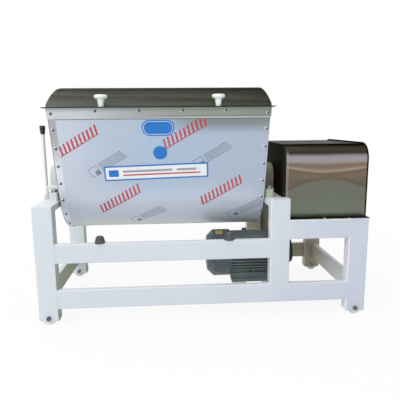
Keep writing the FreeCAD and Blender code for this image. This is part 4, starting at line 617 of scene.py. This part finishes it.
# Painted shade in the screws' cross recesses.
SCREW_RECESS_SHADE = cast("screw_recess_shade", paint(52, 54, 58), paint(38, 40, 44), 0.5, 0.6)
GEAR_IRON = cast("gear_iron", paint(96, 96, 94), paint(66, 66, 64), 0.42, 0.9)
PULLEY_BLACK = cast("pulley_black", paint(44, 45, 46), paint(28, 29, 30), 0.45)
MOTOR_GREY = cast("motor_enamel", paint(116, 128, 127), paint(100, 112, 111), 0.4)
COWL_GREY = cast("cowl_enamel", paint(88, 100, 105), paint(72, 84, 89), 0.36)
RUBBER = moulded("bumper_rubber", paint(72, 75, 77), paint(100, 102, 102), 0.55)
PALE_TIP_RUBBER = moulded("pale_tip_rubber", paint(128, 130, 130), paint(150, 150, 148), 0.6)
BELT_RUBBER = moulded("belt_rubber", paint(34, 34, 33), paint(60, 58, 54), 0.7)
NYLON = moulded("wheel_nylon", paint(226, 226, 218), paint(190, 186, 174), 0.42)
KNOB_WHITE = moulded("knob_plastic", paint(232, 236, 236), paint(208, 212, 212), 0.16, 0.6)
GRIP_BLACK = moulded("grip_plastic", paint(38, 38, 36), paint(66, 65, 62), 0.4)
FAN_BLACK = moulded("fan_plastic", paint(48, 48, 48), paint(70, 70, 68), 0.5)
STICKER_BLUE = flat_print("sticker_blue", paint(0, 112, 196), paint(6, 126, 208))
STICKER_WHITE = flat_print("sticker_white", paint(236, 238, 240), paint(222, 226, 230))
STICKER_RED = flat_print("sticker_red", paint(190, 60, 72), paint(204, 92, 100))
STICKER_GREY = flat_print("sticker_grey", paint(150, 156, 166), paint(170, 176, 184))
PLATE_YELLOW = flat_print("plate_yellow", paint(240, 222, 160), paint(220, 192, 116))
PLATE_EDGE = flat_print("plate_edge", paint(64, 66, 40), paint(80, 80, 52))
# Painted shade: the apron under the belt guard is dark olive.
APRON_SHADE_OLIVE = cast("apron_shade_olive", paint(98, 90, 66), paint(78, 72, 52), 0.45, 0.2)
DARK_ZINC = brushed("dark_zinc", paint(126, 130, 132), paint(84, 88, 90), 0.32, ALL_WAYS, 1.0)

NODE_FINISHES = {
    "frame_paint": FRAME_WHITE,
    "block_paint": BLOCK_GREY,
    "bumper_rubber": RUBBER,
    "zinc_steel": ZINC,
    "wheel_nylon": NYLON,
    "filmed_steel": TROUGH_STEEL,
    "trough_steel": TROUGH_STEEL,
    "trunnion_steel": TURNED_STEEL,
    "bush_bronze": BRONZE,
    "lid_steel": LID_STEEL,
    "knob_plastic": KNOB_WHITE,
    "shaft_steel": SHAFT_STEEL,
    "blade_steel": BLADE_STEEL,
    "gear_iron": GEAR_IRON,
    "pulley_iron": PULLEY_BLACK,
    "belt_rubber": BELT_RUBBER,
    "motor_paint": MOTOR_GREY,
    "fan_plastic": FAN_BLACK,
    "cover_steel": COVER_STEEL,
    "grip_plastic": GRIP_BLACK,
}
OWN_FINISHES = {"lock_lever": LEVER_WHITE, "wheel_axle_bolts": DARK_ZINC, "motor_fan_cover": COWL_GREY}


def dress_nodes():
    """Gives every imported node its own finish, or that of its material slot."""
    slots = {row["node"]: row["material_slot"] for row in frame["record"]["subparts"]}
    for name, node in frame["nodes"].items():
        node.data.materials.clear()
        node.data.materials.append(OWN_FINISHES.get(name) or NODE_FINISHES[slots[name]])


# Shapes

def piece(name, mesh, body, finishes, replaced=(), smooth=40.0):
    """Puts a mesh in the scene: on its body, in its finish, for the nodes it replaces."""
    made = bpy.data.objects.new(name, mesh)
    bpy.context.scene.collection.objects.link(made)
    for finish in finishes if isinstance(finishes, (list, tuple)) else [finishes]:
        mesh.materials.append(finish)
    mesh.shade_smooth()
    mesh.set_sharp_from_angle(angle=math.radians(smooth))
    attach(made, body)
    if replaced:
        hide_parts(*replaced)


def mesh_of(form, name):
    """Turns a bmesh into mesh data."""
    bmesh.ops.recalc_face_normals(form, faces=form.faces)
    mesh = bpy.data.meshes.new(name)
    form.to_mesh(mesh)
    form.free()
    return mesh


def stand(origin, axis):
    """Matrix whose Z runs along the axis from the origin."""
    up = Vector(axis).normalized()
    guide = Vector((1, 0, 0)) if abs(up.x) < 0.9 else Vector((0, 1, 0))
    out = (guide - up * guide.dot(up)).normalized()
    across = up.cross(out)
    turn = Matrix((out, across, up)).transposed().to_4x4()
    return Matrix.Translation(origin) @ turn


def skin(form, rings, material=0):
    """Adds the faces between rings of points. A ring of one point closes the shape."""
    faces = []
    for first, second in zip(rings, rings[1:]):
        count = max(len(first), len(second))
        for step in range(count):
            after = (step + 1) % count
            corners = [first[step % len(first)], first[after % len(first)],
                       second[after % len(second)], second[step % len(second)]]
            unique = list(dict.fromkeys(corners))
            if len(unique) > 2:
                face = form.faces.new(unique)
                face.material_index = material
                faces.append(face)
    return faces


def lathe(form, profile, matrix, segments, material=0):
    """Adds a turned shape from (radius, height) points in millimetres. Zero radii close it."""
    rings = []
    for radius, height in profile:
        if radius < 1e-6:
            rings.append([form.verts.new(matrix @ Vector((0, 0, height * MM)))])
            continue
        ring = []
        for step in range(segments):
            turn = 2 * math.pi * step / segments
            spot = Vector((radius * math.cos(turn), radius * math.sin(turn), height)) * MM
            ring.append(form.verts.new(matrix @ spot))
        rings.append(ring)
    skin(form, rings, material)


def cross_screw(form, seat, outward, turn):
    """Adds a domed screw head with a cross recess, whose faces take the next material, a painted shade."""
    matrix = stand(seat, outward) @ Matrix.Rotation(turn, 4, "Z")
    radius = SCREW_RADIUS
    shares = (0.0, 0.14, 0.26, 0.38, 0.5, 0.62, 0.8, 0.93, 1.0)
    slot = radius * RECESS_WIDTH
    deep = set()
    rings = []
    for share in shares:
        ring = []
        for step in range(SCREW_SEGMENTS if share else 1):
            angle = 2 * math.pi * step / SCREW_SEGMENTS
            x = radius * share * math.cos(angle)
            y = radius * share * math.sin(angle)
            z = SCREW_RISE * (0.25 + 0.75 * math.sqrt(max(0.0, 1 - share ** 2.2)))
            arm = min(abs(x), abs(y))
            if share < RECESS_REACH and arm < slot:
                fade = min(1.0, (RECESS_REACH - share) / 0.14)
                z -= SCREW_RISE * RECESS_DEPTH * (1 - (arm / slot) ** 4) * fade
            ring.append(form.verts.new(matrix @ (Vector((x, y, z)) * MM)))
            if share < 0.66 and arm < slot * 1.2:
                deep.add(ring[-1])
        rings.append(ring)
    low = []
    for step in range(SCREW_SEGMENTS):
        angle = 2 * math.pi * step / SCREW_SEGMENTS
        spot = Vector((radius * math.cos(angle), radius * math.sin(angle), 0)) * MM
        low.append(form.verts.new(matrix @ spot))
    rings.append(low)
    for face in skin(form, rings):
        face.material_index = 1 if deep.issuperset(face.verts) else 0
    form.faces.new(list(reversed(low)))


def bolt_head(form, seat, outward, across, height, washer):
    """Adds a hexagon head with a chamfered top on a round washer."""
    matrix = stand(seat, outward)
    corner = across / math.sqrt(3)
    lathe(form, [(0, 0), (corner * 1.35, 0), (corner * 1.35, washer * 0.8), (corner * 1.28, washer),
                 (0, washer)], matrix, 32)
    levels = ((1.0, washer), (1.0, height * 0.8), (0.86, height))
    rings = []
    for share, level in levels:
        ring = []
        for step in range(6):
            turn = math.radians(60 * step)
            spot = Vector((corner * share * math.cos(turn), corner * share * math.sin(turn), level))
            ring.append(form.verts.new(matrix @ (spot * MM)))
        rings.append(ring)
    skin(form, rings)
    form.faces.new(list(reversed(rings[0])))
    form.faces.new(rings[-1])


# Trough

STRAIGHT_RUN = (RIM_TOP - TILT.z + TROUGH_RADIUS * MM * math.sin(WALL_LEAN)) / math.cos(WALL_LEAN) / MM
ROUND_RUN = TROUGH_RADIUS * (math.pi / 2 - WALL_LEAN)


def wall(run, proud=0.0):
    """Y, Z and outward Y, Z on the front of the trough, this far down from the rim."""
    if run <= STRAIGHT_RUN:
        out = (-math.cos(WALL_LEAN), -math.sin(WALL_LEAN))
        back = (STRAIGHT_RUN - run) * MM
        y = TILT.y + out[0] * TROUGH_RADIUS * MM - back * math.sin(WALL_LEAN)
        z = TILT.z + out[1] * TROUGH_RADIUS * MM + back * math.cos(WALL_LEAN)
    else:
        turn = math.pi + WALL_LEAN + (run - STRAIGHT_RUN) / TROUGH_RADIUS
        out = (math.cos(turn), math.sin(turn))
        y = TILT.y + out[0] * TROUGH_RADIUS * MM
        z = TILT.z + out[1] * TROUGH_RADIUS * MM
    return y + out[0] * proud * MM, z + out[1] * proud * MM, out[0], out[1]


def on_wall(x, run, proud=0.0):
    """Point on the front of the trough, X in millimetres from its left end."""
    y, z, _, _ = wall(run, proud)
    return Vector((TROUGH_LEFT + x * MM, y, z))


def film_sheet():
    """The film on the trough: front, bottom and rear, with a slightly uneven left edge."""
    form = bmesh.new()
    layer = form.verts.layers.float_vector.new("unrolled")
    length = (TROUGH_RIGHT - TROUGH_LEFT) / MM
    first = BAND_HEIGHT / math.cos(WALL_LEAN) + 1.0
    last = 2 * (STRAIGHT_RUN + ROUND_RUN) - first
    columns = 110
    rows = 120
    grid = []
    for row in range(rows + 1):
        run = first + (last - first) * row / rows
        mirrored = run > STRAIGHT_RUN + ROUND_RUN
        local = 2 * (STRAIGHT_RUN + ROUND_RUN) - run if mirrored else run
        line = []
        for column in range(columns + 1):
            share = column / columns
            ragged = 1.6 * noise.noise(Vector((run * 0.03, 2.0, 0.0))) * (1 - share) ** 6
            x = FILM_START + ragged + (length - 1.0 - FILM_START) * share
            ripple = noise.noise(Vector((x * 0.012, run * 0.02, 4.0)))
            bubble = max(0.0, noise.noise(Vector((x * 0.035, run * 0.05, 9.0))) - 0.35)
            proud = FILM_PROUD + 0.12 * ripple + 0.8 * bubble
            y, z, _, _ = wall(local, max(0.15, proud))
            if mirrored:
                y = 2 * TILT.y - y
            vert = form.verts.new((TROUGH_LEFT + x * MM, y, z))
            vert[layer] = (x * MM, run * MM, 0.0)
            line.append(vert)
        grid.append(line)
    for upper, lower in zip(grid, grid[1:]):
        for column in range(columns):
            form.faces.new([upper[column], lower[column], lower[column + 1], upper[column + 1]])
    mesh = mesh_of(form, "trough_film")
    piece("trough_film", mesh, "trough", FILM, smooth=60.0)


def rounded_outline(width, height, radius, steps=6):
    """Corner points of a rounded rectangle round its centre, in millimetres."""
    points = []
    corners = ((1, 1, 0), (-1, 1, 90), (-1, -1, 180), (1, -1, 270))
    for side_x, side_y, start in corners:
        for step in range(steps + 1):
            turn = math.radians(start + 90 * step / steps)
            points.append((side_x * (width / 2 - radius) + radius * math.cos(turn),
                           side_y * (height / 2 - radius) + radius * math.sin(turn)))
    return points


def sticker_layer(form, outline, x, run, tilt, proud, material):
    """Adds a thin plate of the outline on the trough's front wall."""
    tops = []
    lows = []
    for across, rise in outline:
        turned_x = across * math.cos(tilt) - rise * math.sin(tilt)
        turned_z = across * math.sin(tilt) + rise * math.cos(tilt)
        tops.append(form.verts.new(on_wall(x + turned_x, run - turned_z, proud)))
        lows.append(form.verts.new(on_wall(x + turned_x, run - turned_z, proud - STICKER_THICK)))
    faces = [form.faces.new(tops), form.faces.new(list(reversed(lows)))]
    for step in range(len(tops)):
        after = (step + 1) % len(tops)
        faces.append(form.faces.new([tops[step], lows[step], lows[after], tops[after]]))
    for face in faces:
        face.material_index = material


def sticker(name, layers, x, run, tilt=0.0):
    """A sticker of one or more layers, each (outline, offset across, offset up, finish)."""
    form = bmesh.new()
    finishes = []
    for index, (outline, across, rise, finish) in enumerate(layers):
        if finish not in finishes:
            finishes.append(finish)
        moved = [(point[0] + across, point[1] + rise) for point in outline]
        proud = STICKER_PROUD + 0.3 * index / len(layers)
        sticker_layer(form, moved, x, run, tilt, proud, finishes.index(finish))
    piece(name, mesh_of(form, name), "trough", finishes, smooth=30.0)


def trough_stickers():
    """Plain stickers: a blue badge, a blue dot and a long white strip with a blue border."""
    sticker("badge_sticker", [(rounded_outline(94, 48, 22, 10), 0, 0, STICKER_BLUE),
                              (rounded_outline(86, 40, 18, 10), 0, 0, STICKER_WHITE),
                              (rounded_outline(83, 37, 16.5, 10), 0, 0, STICKER_BLUE)], 313, 60)
    sticker("dot_sticker", [(rounded_outline(42, 42, 20.9, 12), 0, 0, STICKER_BLUE)], 317, 137)
    strip = [(rounded_outline(317, 48, 2), 0, 0, STICKER_BLUE),
             (rounded_outline(308, 39, 1.5), 0, 0, STICKER_WHITE),
             (rounded_outline(30, 22, 3), -130, 0, STICKER_BLUE),
             (rounded_outline(236, 4.5, 1), 16, -7, STICKER_RED),
             (rounded_outline(150, 7, 1), -27, 5, STICKER_GREY),
             (rounded_outline(60, 7, 1), 92, 5, STICKER_GREY)]
    sticker("strip_sticker", strip, 304, 198, math.radians(1.7))


def screw_places():
    """Seat and outward direction of every screw of the trough."""
    places = []
    length = (TROUGH_RIGHT - TROUGH_LEFT) / MM
    band = BAND_HEIGHT / math.cos(WALL_LEAN)
    for index in range(SCREWS_PER_SIDE):
        y, z, out_y, out_z = wall(band + FIRST_SCREW_DROP + SCREW_PITCH * index)
        for x in (SCREW_EDGE, length - SCREW_EDGE):
            places.append((x, y, z, out_y, out_z))
    for index in range(BAND_SCREWS):
        drop = BAND_HEIGHT / 2 if index in (0, BAND_SCREWS - 1) else BAND_SCREW_DROP
        y, z, out_y, out_z = wall(drop / math.cos(WALL_LEAN), BAND_SHEET)
        x = SCREW_EDGE + (length - 2 * SCREW_EDGE) * index / (BAND_SCREWS - 1)
        places.append((x, y, z, out_y, out_z))
    return places


def trough_screw_heads():
    """Domed cross-recess heads for all the trough's screws, front and rear."""
    form = bmesh.new()
    for index, (x, y, z, out_y, out_z) in enumerate(screw_places()):
        turn = noise.noise(Vector((index * 1.7, 3.0, 0.0))) * math.pi
        at_x = TROUGH_LEFT + x * MM
        cross_screw(form, Vector((at_x, y, z)), (0, out_y, out_z), turn)
        cross_screw(form, Vector((at_x, 2 * TILT.y - y, z)), (0, -out_y, out_z), -turn)
    piece("trough_screw_heads", mesh_of(form, "trough_screw_heads"), "trough",
          [SCREW_ZINC, SCREW_RECESS_SHADE], ["trough_screws"])


# Lid

def lid_knob_mouldings():
    """Mushroom knobs with a flat rounded cap on a stem that tapers to its foot."""
    form = bmesh.new()
    low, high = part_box("lid_knobs")
    y = (low[1] + high[1]) / 2
    top = KNOB_HEIGHT
    cap = [(0, top), (KNOB_RADIUS * 0.6, top - 0.1), (KNOB_RADIUS * 0.84, top - 0.7),
           (KNOB_RADIUS * 0.95, top - 2.2), (KNOB_RADIUS, top - 4.4), (KNOB_RADIUS, top - 7.4),
           (KNOB_RADIUS * 0.96, top - 9.6), (KNOB_RADIUS * 0.86, top - 11.0),
           (KNOB_STEM_RADIUS * 1.3, top - 12.0), (KNOB_STEM_RADIUS * 1.03, top - 13.2),
           (KNOB_STEM_RADIUS * 0.97, top - 15.4), (KNOB_FOOT_RADIUS * 1.1, 8),
           (KNOB_FOOT_RADIUS, 1.2), (KNOB_FOOT_RADIUS, 0), (0, 0)]
    for x in (low[0] + KNOB_RADIUS * MM, high[0] - KNOB_RADIUS * MM):
        lathe(form, cap, stand(Vector((x, y, low[2])), (0, 0, 1)), 56)
    piece("lid_knob_mouldings", mesh_of(form, "lid_knob_mouldings"), "lid", KNOB_WHITE,
          ["lid_knobs"], smooth=50.0)


# Frame details

def bumper_mouldings():
    """Tapered rubber bumpers, hollow at the tip, with a washer and screw inside."""
    form = bmesh.new()
    low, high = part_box("rubber_bumpers")
    y = (low[1] + high[1]) / 2
    tip = BUMPER_TIP_RADIUS
    top = BUMPER_HEIGHT
    body = [(0, 0), (BUMPER_RADIUS - 0.6, 0), (BUMPER_RADIUS, 0.8), (BUMPER_RADIUS, 2.4),
            (BUMPER_RADIUS - 0.7, 3.4), (tip + 1.4, top - 5.8), (tip - 0.2, top - 2.6),
            (tip - 1.6, top - 1.0), (tip - 2.8, top - 0.3)]
    hollow = [(tip - 2.8, top - 0.3), (tip - 3.6, top), (tip - 4.4, top - 0.7), (tip - 4.9, top - 3),
              (tip - 5.2, top - 12), (0, top - 12)]
    washer = [(0, top - 10.4), (2.9, top - 10.6), (4.4, top - 11.2), (4.4, top - 12.2),
              (0, top - 12.2)]
    for x in (low[0] + BUMPER_RADIUS * MM, high[0] - BUMPER_RADIUS * MM):
        matrix = stand(Vector((x, y, low[2])), (0, 0, 1))
        lathe(form, body, matrix, 48)
        # The hollow tip and its top ring are in a paler rubber.
        lathe(form, hollow, matrix, 48, 2)
        lathe(form, washer, matrix, 24, 1)
    piece("bumper_mouldings", mesh_of(form, "bumper_mouldings"), "frame",
          [RUBBER, ZINC, PALE_TIP_RUBBER], ["rubber_bumpers"], smooth=50.0)


def grip_moulding():
    """Tapered lever grip with shallow finger rings."""
    low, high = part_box("lever_grip")
    radius = (high[0] - low[0]) / 2 / MM
    length = (high[2] - low[2]) / MM
    form = bmesh.new()
    profile = [(0, 0), (radius * 0.68, 0), (radius * 0.76, 1.0)]
    for step in range(13):
        share = step / 12
        ring = 0.18 * math.cos(step * math.pi)
        profile.append((radius * (0.79 + 0.2 * share) + ring, 2 + (length - 8) * share))
    profile += [(radius, length - 5), (radius * 0.97, length - 2.4), (radius * 0.84, length - 0.5),
                (radius * 0.6, length), (0, length)]
    seat = Vector(((low[0] + high[0]) / 2, (low[1] + high[1]) / 2, low[2]))
    lathe(form, profile, stand(seat, (0, 0, 1)), 40)
    piece("grip_moulding", mesh_of(form, "grip_moulding"), "lever", GRIP_BLACK,
          ["lever_grip"], smooth=60.0)


def weld(form, start, end):
    """Adds a rippled weld bead between two points in millimetres from the frame's corner."""
    first = place(*start)
    matrix = stand(first, place(*end) - first)
    length = (Vector(end) - Vector(start)).length
    count = max(4, round(length / 2.6))
    profile = [(0, 0)]
    for step in range(count + 1):
        uneven = noise.noise(Vector((step * 0.7, start[0], start[2])))
        ripple = 0.22 * math.cos(step * math.pi) + 0.2 * uneven
        profile.append((WELD_RADIUS + ripple, 0.3 + (length - 0.6) * step / count))
    profile.append((0, length))
    lathe(form, profile, matrix, 7)


def frame_welds():
    """Weld beads where rails and cross members meet the legs and posts, front and rear."""
    form = bmesh.new()
    sunk = 1.2
    lower = (LEG_WIDTH, RIGHT_LEG_LEFT)
    upper = (LEG_WIDTH, MID_POST_LEFT)
    step = (MID_POST_LEFT + LEG_WIDTH, RIGHT_LEG_LEFT)
    rails = ((LOWER_RAIL_BOTTOM, lower), (UPPER_RAIL_BOTTOM, upper), (STEP_RAIL_BOTTOM, step))
    for bottom, ends in rails:
        top = bottom + RAIL_HEIGHT
        rear_too = bottom != UPPER_RAIL_BOTTOM
        for y in (sunk, FRAME_DEPTH - sunk) if rear_too else (sunk,):
            for x in ends:
                weld(form, (x, y, bottom + 1.5), (x, y, top - 1.5))
        for y0, y1 in ((1.5, RAIL_THICKNESS), (FRAME_DEPTH - RAIL_THICKNESS, FRAME_DEPTH - 1.5)):
            if y0 > RAIL_THICKNESS and not rear_too:
                continue
            for x in ends:
                weld(form, (x, y0, top), (x, y1, top))
                weld(form, (x, y0, bottom), (x, y1, bottom))
    top = LOWER_RAIL_BOTTOM + RAIL_HEIGHT
    for x0 in CROSS_RAIL_LEFTS:
        for y in (LEG_DEPTH, FRAME_DEPTH - LEG_DEPTH):
            for x in (x0, x0 + RAIL_THICKNESS):
                weld(form, (x, y, LOWER_RAIL_BOTTOM + 1.0), (x, y, top - 1.0))
    for y in (sunk, FRAME_DEPTH - sunk):
        weld(form, (MID_POST_LEFT + 1.5, y, top), (MID_POST_LEFT + LEG_WIDTH - 1.5, y, top))
    piece("frame_welds", mesh_of(form, "frame_welds"), "frame", FRAME_WHITE, smooth=70.0)


def motor_trim():
    """A plain yellow plate bent round the cowl, and a plug in the lifting boss."""
    low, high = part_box("motor_fan_cover")
    axis = Vector((0, (low[1] + high[1]) / 2, (low[2] + high[2]) / 2))
    plate = bmesh.new()
    for reach, inset, finish in ((0.0, 0.0, 0), (0.35, 1.6, 1)):
        rows = []
        radius = (COWL_RADIUS + 0.4 + reach) * MM
        for step in range(9):
            turn = math.radians(PLATE_FROM_DEGREES + inset * 0.7
                                + (PLATE_DEGREES - inset * 1.4) * step / 8)
            out = Vector((0, math.cos(turn), math.sin(turn)))
            spot = axis + out * radius
            x0 = place(PLATE_LEFT + inset, 0, 0).x
            x1 = place(PLATE_RIGHT - inset, 0, 0).x
            rows.append([plate.verts.new((x, spot.y, spot.z)) for x in (x0, x1)])
        for first, second in zip(rows, rows[1:]):
            face = plate.faces.new([first[0], first[1], second[1], second[0]])
            face.material_index = finish
    bmesh.ops.solidify(plate, geom=plate.faces[:], thickness=0.35 * MM)
    piece("cowl_plate", mesh_of(plate, "cowl_plate"), "frame", [PLATE_EDGE, PLATE_YELLOW])

    plug = bmesh.new()
    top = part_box("motor_housing")[1][2]
    seat = Vector((place(LIFTING_PLUG_X, 0, 0).x, axis.y, top))
    bolt_head(plug, seat, (0, 0, 1), 11.0, 4.6, 1.2)
    piece("lifting_plug", mesh_of(plug, "lifting_plug"), "frame", DARK_ZINC)


def rounded_plate(form, outline, lift, thickness, edge):
    """Adds a flat plate of the outline with softened edges: lift turns an outline point into a place."""
    rings = []
    for depth, inset in ((0.0, edge), (edge, 0.0), (thickness - edge, 0.0), (thickness, edge)):
        centre_a = sum(point[0] for point in outline) / len(outline)
        centre_b = sum(point[1] for point in outline) / len(outline)
        ring = []
        for a, b in outline:
            away = Vector((a - centre_a, b - centre_b))
            a, b = Vector((a, b)) - away.normalized() * inset
            ring.append(form.verts.new(place(*lift(a, b, depth))))
        rings.append(ring)
    skin(form, rings)
    form.faces.new(list(reversed(rings[0])))
    form.faces.new(rings[-1])


def motor_foot_web():
    """A cast web between the motor's feet, under the finned body."""
    low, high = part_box("motor_housing")
    length = (high[0] - low[0]) / MM
    outline = [(a + length / 2, b + 13.5) for a, b in rounded_outline(length - 8.0, 26.0, 3.0, 4)]
    start = (low[0] - place(0, 0, 0).x) / MM
    front = (low[1] - place(0, 0, 0).y) / MM + FOOT_WEB_BACK
    bottom = low[2] / MM
    form = bmesh.new()
    rounded_plate(form, outline, lambda a, b, depth: (start + a, front + depth, bottom + b), 8.0, 0.8)
    piece("motor_foot_web", mesh_of(form, "motor_foot_web"), "frame", MOTOR_GREY)


def guard_apron():
    """Dark olive sheet that hangs from the belt guard down to the motor; its colour is painted shade."""
    centre_y = (APRON_FRONT + APRON_REAR) / 2
    centre_z = (APRON_BOTTOM + APRON_TOP) / 2
    outline = [(centre_y + a, centre_z + b) for a, b in
               rounded_outline(APRON_REAR - APRON_FRONT, APRON_TOP - APRON_BOTTOM, 3.0, 4)]
    form = bmesh.new()
    rounded_plate(form, outline, lambda a, b, depth: (APRON_LEFT + depth, a, b), 1.5, 0.3)
    piece("guard_apron", mesh_of(form, "guard_apron"), "frame", APRON_SHADE_OLIVE)


def camera():
    """Camera at the photograph's viewpoint."""
    forward = Vector((-math.sin(YAW) * math.cos(PITCH), math.cos(YAW) * math.cos(PITCH),
                      -math.sin(PITCH)))
    right = Vector((math.cos(YAW), math.sin(YAW), 0))
    up = right.cross(forward)
    turned_right = right * math.cos(ROLL) + up * math.sin(ROLL)
    turned_up = up * math.cos(ROLL) - right * math.sin(ROLL)
    lens = bpy.data.cameras.new("camera")
    lens.sensor_width = SENSOR_WIDTH
    lens.lens = SENSOR_WIDTH * REACH_PIXELS / PICTURE_PIXELS
    lens.clip_end = 60.0
    made = bpy.data.objects.new("camera", lens)
    turn = Matrix((turned_right, turned_up, forward * -1)).transposed().to_4x4()
    made.matrix_world = Matrix.Translation(place(*EYE)) @ turn
    bpy.context.scene.collection.objects.link(made)
    bpy.context.scene.camera = made


def light(name, eye, target, size, power):
    """Square soft box that faces the target."""
    lamp = bpy.data.lights.new(name, "AREA")
    lamp.size = size
    lamp.energy = power
    made = bpy.data.objects.new(name, lamp)
    away = Vector(eye) - Vector(target)
    made.matrix_world = stand(Vector(eye), away)
    bpy.context.scene.collection.objects.link(made)


class Sky(Finish):
    """The world's shader."""

    def __init__(self, name):
        self.material = bpy.data.worlds.new(name)
        self.material.use_nodes = True
        self.tree = self.material.node_tree
        self.tree.nodes.clear()


def background_rays(seen):
    """1 for the camera's own rays and for those that metal or glass sends on, else 0."""
    return seen.most(seen.part("Is Glossy Ray")).most(seen.part("Is Transmission Ray"))


def studio():
    """Pale floor, white surroundings, light that comes from the left, and soft boxes."""
    form = bmesh.new()
    corners = ((-1, -1), (1, -1), (1, 1), (-1, 1))
    form.faces.new([form.verts.new((x * FLOOR_REACH, y * FLOOR_REACH, 0)) for x, y in corners])
    mesh = mesh_of(form, "floor")
    floor = bpy.data.objects.new("floor", mesh)
    finish = Finish("floor_finish", Roughness=0.9)
    shade = finish.grain(0.8, 2.0)
    finish.feed("Base Color", finish.mix(shade, paint(246, 246, 246), paint(250, 250, 250)))
    seen = finish.node("ShaderNodeLightPath", output="Is Camera Ray")
    white = finish.node("ShaderNodeEmission", None, {"Strength": 1.0})
    across, depth, _ = finish.axes()
    away = (across ** 2 + depth ** 2) ** 0.5
    share = 0.9 + 0.1 * away.fade(0.75, 1.7)
    surface = finish.node("ShaderNodeMixShader", None,
                          [background_rays(seen) * share, finish.shaded(), white])
    finish.show(surface)
    mesh.materials.append(finish.material)
    bpy.context.scene.collection.objects.link(floor)

    sky = Sky("surroundings")
    way = sky.node("ShaderNodeSeparateXYZ", None, [sky.node("ShaderNodeTexCoord", output="Generated")])
    level = (0.5 - 0.32 * way - 0.12 * way.part("Y") + 0.24 * way.part("Z")).most(0.08)
    seen = sky.node("ShaderNodeLightPath", output="Is Camera Ray")
    white = background_rays(seen)
    light_level = level * (1 - white) + white
    glow = sky.node("ShaderNodeBackground", None,
                    {"Color": (1.0, 1.0, 1.0, 1.0), "Strength": light_level})
    out = sky.tree.nodes.new("ShaderNodeOutputWorld")
    sky.tree.links.new(glow.socket, out.inputs["Surface"])
    bpy.context.scene.world = sky.material

    light("front_box", (-1.4, -3.0, 2.4), (0, 0, 0.35), 2.6, 46)
    light("top_box", (-0.2, 0.3, 3.6), (0, 0, 0.3), 2.4, 30)
    bpy.context.scene.view_settings.view_transform = "Standard"


dress_nodes()
film_sheet()
trough_stickers()
trough_screw_heads()
lid_knob_mouldings()
bumper_mouldings()
grip_moulding()
frame_welds()
motor_trim()
motor_foot_web()
guard_apron()
camera()
studio()
